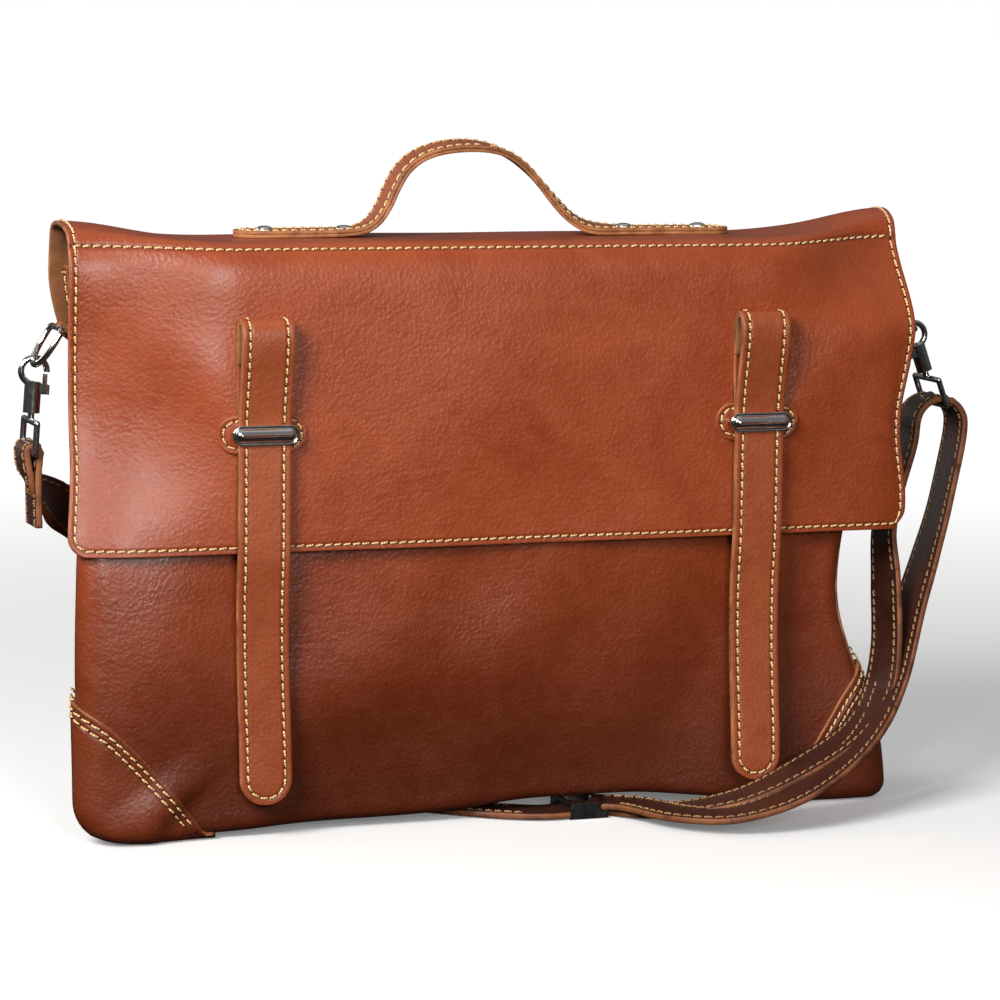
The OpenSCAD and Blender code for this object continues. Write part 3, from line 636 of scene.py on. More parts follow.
def flap_points(u, v):
    """Points of the flap, with its belly, folds over the corners and curled side edges."""
    y = np.interp(v, FLAP_RUN, FLAP_PATH[:, 0])
    z = np.interp(v, FLAP_RUN, FLAP_PATH[:, 1])
    low = FLAP_LOW[2]
    calm = np.clip(1 - hill(u, CLOSURE_X, 30) - hill(u, -CLOSURE_X, 30), 0, 1)
    face = smooth(CREASE_V - 4, CREASE_V - 60, v)
    belly = 2.2 * hill(u, 0, 90) * hill(z, low + 70, 55) * face
    dents = 0.45 * soft_noise(u, v, 52, 3) * calm * smooth(SPLIT_V + 40, SPLIT_V + 20, v)
    top = smooth(CREASE_V + 2, CREASE_V + 14, v) * smooth(SPLIT_V + 50, SPLIT_V + 30, v)
    droop = -1.2 * hill(np.abs(u), 172, 26) * top
    under = hill(v, CREASE_V - 3, 7) * 0.35 * np.sin(u / 6.3 + 1.4 * np.sin(u / 41)) * calm
    slant = (u + 200) * 0.70 + (z - 272) * 0.714
    fold = 2.4 * hill(slant, 0, 17) * smooth(-212, -185, u) * smooth(-110, -150, u)
    slant = (u - 196) * 0.80 - (z - 262) * 0.60
    fold = fold + 2.0 * hill(slant, 0, 18) * smooth(120, 150, u) * smooth(150, 200, z)
    curl = 5.0 * smooth(-180, -214, u) ** 1.5 + 3.0 * smooth(186, 214, u) ** 1.5
    y = y - belly - (dents + under + fold) * face + curl * face
    z = z + droop + 0.3 * dents * top
    return slump(np.stack([u, y, z], -1))


def flap_skin():
    """Skin of the whole flap; u runs across it and v from its lower front edge."""
    us, vs = fill(-FLAP_HALF - 4, FLAP_HALF + 4, 2.0), fill(0, FLAP_END, 1.5)
    u, v = grid(us, vs)
    return Skin(us, vs, flap_points(u, v))


FLAP = flap_skin()
GUSSETS = {1: gusset_skin(1), -1: gusset_skin(-1)}


# ---------------------------------------------------------------- materials

class Nodes:
    """Small helper to write a material's node tree; sizes are in millimetres, as in the shapes above."""

    def __init__(self, name):
        self.material = bpy.data.materials.new(name)
        self.material.use_nodes = True
        self.tree = self.material.node_tree
        self.tree.nodes.clear()
        self.output = self.add("ShaderNodeOutputMaterial")
        self.shader = self.add("ShaderNodeBsdfPrincipled")
        self.link(self.shader.outputs[0], self.output.inputs[0])
        self.place = self.add("ShaderNodeTexCoord").outputs["Object"]

    def add(self, kind, **settings):
        node = self.tree.nodes.new(kind)
        for key, value in settings.items():
            setattr(node, key, value)
        return node

    def link(self, source, target):
        self.tree.links.new(source, target)

    def put(self, target, value):
        if isinstance(value, bpy.types.NodeSocket):
            self.link(value, target)
        else:
            target.default_value = value

    def set(self, **values):
        for key, value in values.items():
            self.put(self.shader.inputs[key.replace("_", " ")], value)

    def math(self, operation, *values):
        node = self.add("ShaderNodeMath", operation=operation)
        for socket, value in zip(node.inputs, values + (0.0, 0.0)):
            self.put(socket, value)
        return node.outputs[0]

    def plus(self, a, b):
        return self.math("ADD", a, b)

    def minus(self, a, b):
        return self.math("SUBTRACT", a, b)

    def times(self, a, b):
        return self.math("MULTIPLY", a, b)

    def ramp(self, value, low, high, to_low=0.0, to_high=1.0):
        """The value carried smoothly from one range to another."""
        node = self.add("ShaderNodeMapRange", clamp=True, interpolation_type="SMOOTHSTEP")
        for key, item in (("Value", value), ("From Min", low), ("From Max", high),
                          ("To Min", to_low), ("To Max", to_high)):
            self.put(node.inputs[key], item)
        return node.outputs["Result"]

    def stretch(self, scale):
        node = self.add("ShaderNodeMapping")
        self.link(self.place, node.inputs["Vector"])
        node.inputs["Scale"].default_value = scale
        return node.outputs[0]

    def noise(self, size_mm, detail=3.0, rough=0.5, warp=0.0, place=None):
        node = self.add("ShaderNodeTexNoise")
        self.link(place or self.place, node.inputs["Vector"])
        self.put(node.inputs["Scale"], 1 / (size_mm * MM))
        self.put(node.inputs["Detail"], detail)
        self.put(node.inputs["Roughness"], rough)
        self.put(node.inputs["Distortion"], warp)
        return node.outputs["Fac"]

    def cells(self, size_mm, feature="F1"):
        node = self.add("ShaderNodeTexVoronoi", feature=feature)
        self.link(self.place, node.inputs["Vector"])
        node.inputs["Scale"].default_value = 1 / (size_mm * MM)
        if feature == "SMOOTH_F1":
            node.inputs["Smoothness"].default_value = 0.5
        return node.outputs["Distance"]

    def mix(self, share, a, b, blend="MIX"):
        node = self.add("ShaderNodeMix", data_type="RGBA", blend_type=blend)
        self.put(node.inputs["Factor"], share)
        self.put(node.inputs["A"], a if isinstance(a, bpy.types.NodeSocket) else (*a, 1))
        self.put(node.inputs["B"], b if isinstance(b, bpy.types.NodeSocket) else (*b, 1))
        return node.outputs["Result"]

    def attribute(self, name):
        return self.add("ShaderNodeAttribute", attribute_name=name).outputs["Fac"]

    def bump(self, height, depth_mm, under=None):
        node = self.add("ShaderNodeBump")
        self.put(node.inputs["Height"], height)
        node.inputs["Distance"].default_value = depth_mm * MM
        node.inputs["Strength"].default_value = 1.0
        if under is not None:
            self.link(under, node.inputs["Normal"])
        return node.outputs[0]


def rgb(red, green, blue):
    """Linear colour from 0-255 screen values."""
    def straight(c):
        c /= 255.0
        return c / 12.92 if c <= 0.04045 else ((c + 0.055) / 1.055) ** 2.4
    return tuple(straight(c) for c in (red, green, blue))


def seam_marks(n):
    """Two masks from the seam attributes: the groove beside the stitches and the needle holes."""
    groove, holes = None, None
    for letter in "ab":
        gap = n.math("ABSOLUTE", n.attribute("seam_" + letter))
        run = n.attribute("run_" + letter)
        pull = n.ramp(gap, 0.2, 1.9, 1.0, 0.0)
        phase = n.math("FRACT", n.math("DIVIDE", run, PITCH))
        phase = n.math("ABSOLUTE", n.minus(phase, 0.5))
        at_hole = n.times(n.ramp(phase, 0.38, 0.47), n.ramp(gap, 0.25, 0.62, 1.0, 0.0))
        groove = pull if groove is None else n.math("MAXIMUM", groove, pull)
        holes = at_hole if holes is None else n.math("MAXIMUM", holes, at_hole)
    return groove, holes


def leather(name, light, deep, rough=0.42, grain=1.0, marks=True, wear=0.5, foot=0.0):
    """Smooth waxed hide: cloudy colour, fine grain and pores, faint wrinkles and a soft shine.

    foot is how strongly painted shade darkens the colour towards the floor.
    """
    n = Nodes(name)
    cloud = n.noise(70, 4, 0.6, 0.6)
    mottle = n.noise(9, 5, 0.62, 0.3)
    fine = n.noise(1.6, 3, 0.6)
    tone = n.plus(n.times(cloud, 0.9), n.times(mottle, 0.35))
    tone = n.ramp(n.plus(tone, n.times(fine, 0.12)), 0.30, 1.02)
    colour = n.mix(tone, deep, light)
    pale = tuple(min(1.0, c * 1.55 + 0.012) for c in light)
    rub = n.times(n.ramp(n.noise(26, 6, 0.7, 1.2), 0.56, 0.78), 0.20 * wear)
    colour = n.mix(rub, colour, pale)
    pores = n.ramp(n.cells(1.15, "F1"), 0.10, 0.42)
    colour = n.mix(n.times(n.minus(1.0, pores), 0.22), colour, deep)
    scratch_place = n.stretch((0.16, 1.0, 1.0))
    scratches = n.ramp(n.noise(2.2, 2, 0.5, 2.5, place=scratch_place), 0.66, 0.72)
    colour = n.mix(n.times(scratches, 0.10 * wear), colour, pale)
    # Painted shade: the colour darkens towards the floor, over the lowest 0.15 m.
    if foot:
        painted_shade_height = 0.15
        split = n.add("ShaderNodeSeparateXYZ")
        n.link(n.place, split.inputs[0])
        share = n.ramp(split.outputs[2], 0.0, painted_shade_height, foot, 0.0)
        colour = n.mix(share, colour, tuple(c * 0.2 for c in deep))
    wrinkle = n.noise(15, 3, 0.55, 1.6, place=n.stretch((0.45, 1.0, 1.35)))
    pebble = n.cells(1.9, "SMOOTH_F1")
    height = n.bump(wrinkle, 0.26 * grain)
    height = n.bump(pebble, 0.20 * grain, height)
    height = n.bump(n.noise(0.55, 2, 0.6), 0.055 * grain, height)
    height = n.bump(pores, 0.05 * grain, height)
    roughness = n.ramp(n.plus(n.times(mottle, 0.6), n.times(cloud, 0.5)),
                       0.35, 0.75, rough - 0.07, rough + 0.10)
    if marks:
        groove, holes = seam_marks(n)
        # The groove beside the stitches is darkened, as pressed leather and as painted shade, and the needle
        # holes are painted shade, nearly black.
        dark = tuple(c * 0.42 for c in deep)
        colour = n.mix(n.times(groove, 0.42), colour, dark)
        colour = n.mix(n.times(holes, 0.9), colour, tuple(c * 0.12 for c in deep))
        height = n.bump(n.minus(1.0, groove), 0.38, height)
        height = n.bump(n.minus(1.0, holes), 0.55, height)
    n.set(Base_Color=colour, Roughness=roughness, Normal=height, IOR=1.48)
    n.set(Coat_Weight=0.26, Coat_Roughness=0.30, Specular_IOR_Level=0.5)
    return n.material


def raw_edge(name, light, deep):
    """Burnished cut edge with its fibres showing."""
    n = Nodes(name)
    fibre = n.noise(0.7, 4, 0.7, 0.6)
    patchy = n.noise(14, 4, 0.6, 0.5)
    colour = n.mix(n.ramp(n.plus(n.times(fibre, 0.5), patchy), 0.5, 1.0), deep, light)
    height = n.bump(fibre, 0.16, n.bump(n.noise(4, 3), 0.18))
    n.set(Base_Color=colour, Roughness=n.ramp(patchy, 0.3, 0.7, 0.5, 0.75), Normal=height)
    return n.material


def suede(name, light, deep):
    """Flesh side of the hide."""
    n = Nodes(name)
    nap = n.noise(0.5, 4, 0.75, 0.3)
    cloud = n.noise(24, 4, 0.6, 1.0)
    colour = n.mix(n.ramp(n.plus(n.times(nap, 0.5), cloud), 0.5, 1.05), deep, light)
    n.set(Base_Color=colour, Roughness=0.94, Normal=n.bump(nap, 0.14, n.bump(cloud, 0.4)))
    n.set(Sheen_Weight=0.35, Sheen_Roughness=0.5, Specular_IOR_Level=0.2)
    return n.material


def twill(name, light, deep):
    """Woven cotton lining."""
    n = Nodes(name)
    diagonal_pitch, warp_pitch = 1.1 * MM, 0.6 * MM
    split = n.add("ShaderNodeSeparateXYZ")
    n.link(n.place, split.inputs[0])
    across = n.plus(split.outputs[0], n.times(split.outputs[1], 0.7))
    diagonal = n.math("SINE", n.times(n.plus(across, split.outputs[2]), math.tau / diagonal_pitch))
    warp = n.math("SINE", n.times(across, math.tau / warp_pitch))
    weave = n.plus(n.times(diagonal, 0.32), n.times(warp, 0.18))
    slub = n.noise(3.5, 3, 0.6, 0.4)
    tone = n.ramp(n.plus(weave, slub), 0.1, 1.0)
    n.set(Base_Color=n.mix(tone, deep, light), Roughness=0.9, Normal=n.bump(weave, 0.12))
    n.set(Sheen_Weight=0.2, Specular_IOR_Level=0.2)
    return n.material


def thread(name, light, deep):
    """Waxed thread with its plies turning round it."""
    n = Nodes(name)
    ply = n.math("SINE", n.times(n.attribute("twist"), 5.2))
    soil = n.noise(11, 4, 0.6)
    tone = n.plus(n.times(ply, 0.22), soil)
    n.set(Base_Color=n.mix(n.ramp(tone, 0.25, 0.85), deep, light), Roughness=0.55,
          Normal=n.bump(ply, 0.10, n.bump(n.noise(0.4, 2), 0.03)))
    return n.material


def plated(name, tint, rough=0.10, wear=1.0):
    """Bright plated metal with fine scratches and faint finger marks."""
    n = Nodes(name)
    marks = n.noise(5, 5, 0.65, 0.4)
    hair = n.noise(0.5, 3, 0.6, 0.0, place=n.stretch((0.08, 1.0, 1.0)))
    soil = n.ramp(n.noise(16, 4, 0.6), 0.55, 0.8)
    colour = n.mix(n.times(soil, 0.25 * wear), tint, tuple(c * 0.55 for c in tint))
    streaks = n.ramp(marks, 0.35, 0.75, rough, rough + 0.13 * wear)
    roughness = n.plus(streaks, n.times(soil, 0.06))
    n.set(Base_Color=colour, Metallic=1.0, Roughness=roughness,
          Normal=n.bump(hair, 0.012 * wear, n.bump(marks, 0.02 * wear)))
    return n.material


def board(name, light, deep):
    """Pressed fibre board."""
    n = Nodes(name)
    fleck = n.cells(1.3, "F1")
    n.set(Base_Color=n.mix(n.ramp(n.plus(fleck, n.noise(6, 4)), 0.3, 1.2), deep, light),
          Roughness=0.85, Normal=n.bump(fleck, 0.05))
    return n.material


TAN, TAN_DEEP = rgb(160, 72, 34), rgb(132, 54, 22)
# BODY is darker than the flap's TAN: partly the case's own tone, partly painted shade for the less lit case.
BODY, BODY_DEEP = rgb(146, 63, 28), rgb(116, 46, 18)
EDGE, EDGE_DEEP = rgb(186, 122, 74), rgb(112, 62, 34)

FLAP_LEATHER = leather("flap_leather", TAN, TAN_DEEP, 0.38)
# The case and patch colours are partly painted shade, and foot paints more shade on them towards the floor.
CASE_LEATHER = leather("case_leather", BODY, BODY_DEEP, 0.38, foot=0.72)
PATCH_LEATHER = leather("patch_leather", rgb(140, 61, 28), rgb(104, 42, 17), 0.38, foot=0.35)
STRAP_LEATHER = leather("strap_leather", rgb(162, 80, 42), rgb(134, 58, 27), 0.42, grain=0.8)
HANDLE_LEATHER = leather("handle_leather", rgb(168, 88, 50), rgb(132, 64, 34), 0.44, grain=0.8)
# Dark brown strap leather, darkened further as painted shade for its faces in shadow.
SHOULDER_LEATHER = leather("shoulder_leather", rgb(66, 27, 13), rgb(34, 13, 6), 0.46, marks=False)
CUT_EDGE = raw_edge("cut_edge", EDGE, EDGE_DEEP)
DARK_EDGE = raw_edge("dark_edge", rgb(150, 90, 52), rgb(86, 44, 24))
SUEDE = suede("suede", rgb(168, 112, 70), rgb(118, 70, 40))
LINING = twill("lining_twill", rgb(116, 84, 58), rgb(66, 44, 30))
THREAD = thread("thread", rgb(246, 216, 160), rgb(214, 166, 106))
STRAP_THREAD = thread("strap_thread", rgb(184, 144, 96), rgb(132, 92, 56))
CHROME = plated("chrome", (0.72, 0.71, 0.69))
DARK_CHROME = plated("dark_chrome", (0.42, 0.41, 0.40), rough=0.16)
BOARD = board("board", rgb(92, 72, 56), rgb(54, 42, 34))
FLAP_SET = [FLAP_LEATHER, SUEDE, CUT_EDGE]
CASE_SET = [CASE_LEATHER, SUEDE, CUT_EDGE]
PATCH_SET = [PATCH_LEATHER, SUEDE, CUT_EDGE]
STRAP_SET = [STRAP_LEATHER, SUEDE, CUT_EDGE]
SUEDE_SET = [SUEDE, SUEDE, DARK_EDGE]
LINING_SET = [LINING, LINING, LINING]


# ---------------------------------------------------------------- the case

def resample_seam(line):
    """The same line with points close enough to follow a curved skin."""
    run = lengths_along(line)
    at = np.unique(np.concatenate([run, np.arange(0, run[-1], 3.0)]))
    return np.stack([np.interp(at, run, line[:, k]) for k in range(2)], 1)


def sew(name, skin, line, height, body, slot, keep=None):
    """A row of cream stitches on a body, or left where it is when given a bend."""
    return attach(stitches(name, skin, line, height, THREAD, keep), body, slot)


def build_panel(name, skin, top_z):
    """Front or back panel, sewn along its sides and top."""
    low, high = 2.6, height_v(top_z)
    s, top = SIDE_U - STITCH_INSET, high - STITCH_INSET
    sides = np.array([(-s, low), (-s, top), (s, top), (s, low)])
    u, v = grid(edged(-SIDE_U, SIDE_U, 2.6), edged(low, high, 2.6))
    panel = sheet(name, skin, u, v, -SKIN, 0, CASE_SET, seams=(sides,))
    attach(panel, "case", "case_leather", name)
    patched = low + 60  # the corner patches hide the seam below this
    line = np.array([(-s, patched), (-s, top), (s, top), (s, patched)])
    sew(name + "_stitches", skin, resample_seam(line), 0, "case", "case_leather")


def patch_reach(d):
    """Height of the corner patch's seam at a distance from the case's edge."""
    return PATCH_HIGH[2] * (1 - np.clip(d / PATCH_REACH, 0, 1) ** 1.38) + 1.0


def build_patch(name, skin, side):
    """Cup of leather over one lower corner, with two rows of stitches along its seam."""
    wrap, under = 13.0, -11.0  # how far it goes round the side and underneath
    row_gap, stitch_foot = 3.2, 9.0  # between the rows, and the lowest stitch
    d = np.concatenate([edged(PATCH_REACH, 0, 2.2)[:-1], -fill(0, wrap, 1.4)])
    top = patch_reach(np.maximum(d, 0)) - 10.0 * smooth(0, wrap, -d) + FOOT_V - FOOT_R
    share = edged(0, 70, 2.2) / 70
    u = np.broadcast_to((side * (CORNER_U - d))[:, None], (len(d), len(share))).copy()
    v = under + (top[:, None] - under) * share[None]
    line = np.stack([side * (CORNER_U - d), top], 1)
    if side < 0:
        u, v, line = u[::-1], v[::-1], line[::-1]
    line = line[np.concatenate([[True], np.linalg.norm(np.diff(line, axis=0), axis=1) > 0.4])]
    first, second = offset_line(line, -STITCH_INSET), offset_line(line, -STITCH_INSET - row_gap)
    cup = sheet(name, skin, u, v, 0.15, SKIN, PATCH_SET, seams=(first, second))
    attach(cup, "case", "patch_leather", name)
    for row, points in (("outer", first), ("inner", second)):
        sew(name + "_" + row + "_stitches", skin, points, SKIN, "case", "patch_leather",
            keep=lambda u, v: v > stitch_foot and abs(u) < SIDE_U)


def build_gusset(side):
    """Side of the case, with a stitched hem along its top."""
    skin = GUSSETS[side]
    name = SIDES[side] + "_gusset"
    top = GUSSET_HIGH[2] - CORNER_LIFT
    half, hem_half = 33, 31.0
    hem, fold = [np.array([(-hem_half, top - down), (hem_half, top - down)]) for down in (6.5, 2.2)]
    u, v = grid(edged(-half, half, 2.0), edged(2, top, 2.6))
    panel = sheet(name, skin, u, v, -SKIN, 0, CASE_SET, seams=(hem, fold))
    attach(panel, "case", "case_leather", name)
    sew(name + "_hem_stitches", skin, hem, 0, "case", "case_leather")


def build_bottom():
    """Underside of the case, drawn in at the front where the front panel tucks under."""
    us, vs = fill(-212, 212, 4.0), fill(-36, 36, 2.0)
    u, v = grid(us, vs)
    narrow = 1 - np.where(v > 0, 0.42, 0.0) * smooth(185, 120, np.abs(u))
    skin = Skin(us, vs, slump(np.stack([u, -v * narrow, lift(u) + 0.2], -1)))
    u, v = grid(edged(-203, 203, 3.0), edged(-33, 33, 3.0))
    attach(sheet("bottom_panel", skin, u, v, -SKIN, 0, CASE_SET), "case", "case_leather", "bottom_panel")


def inner_lining(name, skin, half, low, high, *nodes):
    """Lining fabric a little way inside one of the case's skins."""
    u, v = grid(edged(-half, half, 4.0), edged(low, high, 4.0))
    attach(sheet(name, skin, u, v, -4.1, -3.3, LINING_SET), "case", "lining_fabric", *nodes)


def level_skin(z, facing=1):
    """A level surface inside the case that sags with it; facing 1 looks up, -1 down."""
    us, vs = fill(-212, 212, 4.0), fill(-40, 40, 2.0)
    u, v = grid(us, vs)
    return Skin(us, vs, slump(np.stack([u, facing * v, np.full_like(u, z)], -1)))


def build_interior():
    """Lining on all four sides and the floor, the base board, the divider and the slip pocket."""
    top = height_v(LINING_HIGH[2])
    inner_lining("lining", FRONT, CORNER_U - 16, 14, top, "lining")
    inner_lining("lining_back", BACK, CORNER_U - 16, 14, top)
    for side in (1, -1):
        inner_lining("lining_" + SIDES[side], GUSSETS[side], 29, 13, LINING_HIGH[2] - CORNER_LIFT)
    u, v = grid(edged(LINING_LOW[0], LINING_HIGH[0], 4.0), edged(-20.0, 32.5, 4.0))
    floor = sheet("lining_floor", level_skin(LINING_LOW[2] + 0.8), u, v, -0.7, 0, LINING_SET)
    attach(floor, "case", "lining_fabric")
    stiff = sheet("base_board", level_skin(LINING_LOW[2] - 0.2), u, v, -2.3, 0, [BOARD, BOARD, BOARD])
    attach(stiff, "case", "stiffener_board", "base_board")
    build_divider()
    build_pocket()


def build_divider():
    """Padded divider: quilted in wide channels, with a bound edge."""
    half = DIVIDER_HIGH[0]
    low, high = DIVIDER_LOW[2], DIVIDER_HIGH[2]
    channels, rim_width, margin, corner = 8, 14, 4, 12
    us, vs = fill(-half - margin, half + margin, 2.5), fill(low - margin, high + margin, 2.5)
    u, v = grid(us, vs)
    channel = np.abs(np.sin((u + half) * math.pi / (2 * half) * channels)) ** 0.45
    rim = np.minimum(smooth(half, half - rim_width, np.abs(u)), smooth(high, high - rim_width, v))
    puff = (0.5 + 1.9 * channel) * rim
    middle = (DIVIDER_LOW[1] + DIVIDER_HIGH[1]) / 2 + 0.6 * soft_noise(u, v, 70, 17)
    for direction, name, nodes in ((1, "padded_divider", ["padded_divider"]),
                                   (-1, "padded_divider_back", [])):
        face = Skin(us, vs, slump(np.stack([direction * u, middle - direction * puff, v], -1)))
        gu, gv = rounded_grid(half - 1, low, high, 0, corner, 3.0, 3.0)
        attach(sheet(name, face, gu, gv, -1.2, 0, LINING_SET), "case", "lining_fabric", *nodes)
    outline = tongue_seam(half - 1, low, high, corner, 0.0)
    rim_skin = Skin(us, vs, slump(np.stack([u, middle, v], -1)))
    points, faces = tube(rim_skin.at(outline[:, 0], outline[:, 1]), 1.9, 10)
    attach(make_mesh("divider_binding", points, faces, [SUEDE]), "case", "suede")


def build_pocket():
    """Slip pocket on the inside of the back, sewn round its sides and foot."""
    half, corner = POCKET_HIGH[0], 10
    low, high = height_v(POCKET_LOW[2]), height_v(POCKET_HIGH[2])
    u, v = rounded_grid(half, low, high, corner, 0, 3.0, 3.0)
    seam = tongue_seam(half, -high, -low, corner, STITCH_INSET) * [1, -1]
    inside = BACK.turned()
    gap, outside = 4.3, 5.6
    attach(sheet("slip_pocket", inside, u, v, gap, outside, SUEDE_SET), "case", "suede", "slip_pocket")
    sew("slip_pocket_stitches", inside, seam, outside, "case", "suede")


# ---------------------------------------------------------------- the flap

def bend_between(a, b, place_a, place_b):
    """A bend from body a to body b, starting and ending at two (y, z) places."""
    return a, b, (0, place_a[0] * MM, place_a[1] * MM), (0, place_b[0] * MM, place_b[1] * MM)


REAR_BEND = bend_between("case", "top", (PANEL_Y, CREASE_Z - 16), (PANEL_Y - 14, TOP_Z))
FRONT_BEND = bend_between("top", "flap", (FLAP_LOW[1] + 14, TOP_Z), (FLAP_LOW[1], CREASE_Z - 14))


def u_seam(half, low, high, radius, inset):
    """Down the left side, round both lower corners and up the right side, in pattern coordinates."""
    h, r = half - inset, radius - inset
    angle = np.linspace(0, math.pi / 2, 12)
    right = [(h - r + r * math.cos(a), low + inset + r - r * math.sin(a)) for a in angle]
    left = [(-x, y) for x, y in right]
    return np.array([(-h, high)] + left + right[::-1] + [(h, high)])


def build_flap():
    """The flap in two stretches that meet on the top, its three rows of stitches and its facing."""
    radius, half = 10.0, FLAP_HALF
    seam = u_seam(half, 0, SPLIT_V, radius, STITCH_INSET)
    crease = np.array([(-half + 1.5, CREASE_V), (half - 1.5, CREASE_V)])
    rear_seam = u_seam(half, -FLAP_END, -SPLIT_V, radius, STITCH_INSET) * [1, -1]
    u, v = rounded_grid(half, 0, SPLIT_V, radius, 0, 2.4, 2.2)
    front = sheet("flap_front", FLAP, u, v, -SKIN, 0, FLAP_SET, seams=(seam, crease), open_sides=("v1",))
    attach(front, FRONT_BEND, "case_leather", "flap_front")
    u, v = rounded_grid(half, SPLIT_V, FLAP_END, 0, radius, 2.4, 2.2)
    rear = sheet("flap_top", FLAP, u, v, -SKIN, 0, FLAP_SET, seams=(rear_seam,), open_sides=("v0",))
    attach(rear, REAR_BEND, "case_leather", "flap_top")
    for part, line, bend in (("edge", seam, FRONT_BEND), ("crease", crease, FRONT_BEND),
                             ("rear", rear_seam, REAR_BEND)):
        sew("flap_" + part + "_stitches", FLAP, resample_seam(line), 0, bend, "case_leather")
    margin = 6
    u, v = rounded_grid(half - margin, margin, CREASE_V - margin, radius - 4, 0, 3.0, 3.0)
    attach(sheet("flap_facing", FLAP, u, v, -4.2, -3.4, SUEDE_SET), FRONT_BEND, "suede", "flap_facing")


def slot_outline(length, width, count):
    """Points round a shape with straight sides and round ends, about its middle."""
    r, h = width / 2, (length - width) / 2
    a = np.linspace(-math.pi / 2, math.pi / 2, count)
    right = np.stack([h + r * np.cos(a), r * np.sin(a)], 1)
    return np.vstack([right, -right])


def build_keeper_patch(side):
    """Small reinforcing patch under the keeper, sewn round its edge."""
    name = SIDES[side] + "_keeper_patch"
    length = KEEPER_PATCH_HIGH[0] - KEEPER_PATCH_LOW[0] + 3
    width = KEEPER_PATCH_HIGH[2] - KEEPER_PATCH_LOW[2] + 2
    inset, thick = 2.3, 1.5
    us, vs = fill(-width, width, 1.0), fill(-length, length, 1.0)
    a, b = grid(us, vs)
    middle_v = float(np.interp(KEEPER_Z, FLAP_PATH[:200, 1], FLAP_RUN[:200]))
    skin = Skin(us, vs, FLAP.at(side * CLOSURE_X + b, middle_v - a))
    u, v = rounded_grid(width / 2, -length / 2, length / 2, width / 2 - 0.5, width / 2 - 0.5, 1.4, 1.6)
    seam = slot_outline(length - 2 * inset, width - 2 * inset, 12)[:, ::-1]
    seam = np.vstack([seam, seam[:1]])
    attach(sheet(name, skin, u, v, 0.05, thick, FLAP_SET, seams=(seam,)), "flap", "case_leather", name)
    sew(name + "_stitches", skin, seam, thick, "flap", "case_leather")


def stacked_slots(place, length, width, profile, flip=False):
    """A solid with round ends, from (inset, y) rows of slot outlines."""
    count = 40
    rings = []
    for inset, y in profile:
        o = slot_outline(length - 2 * inset, width - 2 * inset, count // 2)
        rings.append(np.stack([place[0] + o[:, 0], np.full(len(o), y), place[2] + o[:, 1]], 1))
    return np.vstack(rings), ring_faces(len(rings), count, flip)


def build_keeper(side):
    """Domed keeper bar with a bright rolled rim, its two legs and the plate behind the flap."""
    name = SIDES[side] + "_keeper"
    low, high = corners(name)
    middle = np.array([side * CLOSURE_X, 0.0, KEEPER_Z])
    bar_y, plate_y = low[1] + 3.6, high[1]
    bar_length, bar_width, plate_width = 33.0, 9.6, 7
    leg_x, leg_radius = 14.2, 1.6
    dome = [(0.9, -0.3), (0.1, 0.0), (0.0, 0.45), (0.1, 0.85), (0.45, 1.1), (0.85, 1.05), (1.15, 0.75),
            (1.3, 0.7), (1.6, 1.25), (2.2, 2.0), (3.0, 2.7), (3.9, 3.1), (4.55, 3.25)]
    plate = ((0.3, -1.0), (0.0, -0.8), (0.0, -0.2), (0.3, 0))
    parts = [stacked_slots(middle, bar_length, bar_width, [(inset, bar_y - h) for inset, h in dome])]
    for end in (-1, 1):
        leg = middle + [end * leg_x, 0, 0]
        parts.append(tube([leg + [0, bar_y + 0.2, 0], leg + [0, plate_y - 0.4, 0]], leg_radius, 16))
    parts.append(stacked_slots(middle, high[0] - low[0], plate_width,
                               [(inset, plate_y + y) for inset, y in plate], flip=True))
    attach(make_mesh(name, *join_parts(parts), [CHROME]), "flap", "chrome", name)


# ---------------------------------------------------------------- closure straps

def closure_path(side):
    """Middle of a closure strap from its free end up to the fold over the keeper."""
    top, low = LOOP_HIGH[2], TAIL_LOW[2]
    y = TAIL_LOW[1] + 1.5
    kick, lean = (-11.0, 0.8) if side > 0 else (-1.5, 3.6)  # of the free end, outward and sideways
    rows = [(low, -42.2), (low + 12, -42.2), (low + 28, -42.3), (low + 48, -42.8), (low + 72, -44.4),
            (low + 100, -47.6), (low + 124, y), (KEEPER_Z - 14, y), (KEEPER_Z, y), (KEEPER_Z + 8, y - 0.4),
            (KEEPER_Z + 20, y - 2.2), (KEEPER_Z + 33, y - 4.6), (top - 14, y - 5.9), (top - 7, y - 6.0),
            (top - 2.6, y - 4.4), (top - 1.3, y - 1.4), (top - 2.8, y + 1.8), (top - 7, y + 3.3),
            (top - 14, y + 3.4), (top - 22, y + 3.2)]
    points = []
    for z, row_y in rows:
        share = float(smooth(low + 118, low, z))
        points.append((side * CLOSURE_X + lean * share, row_y + kick * share, z))
    return spline(points, 300)


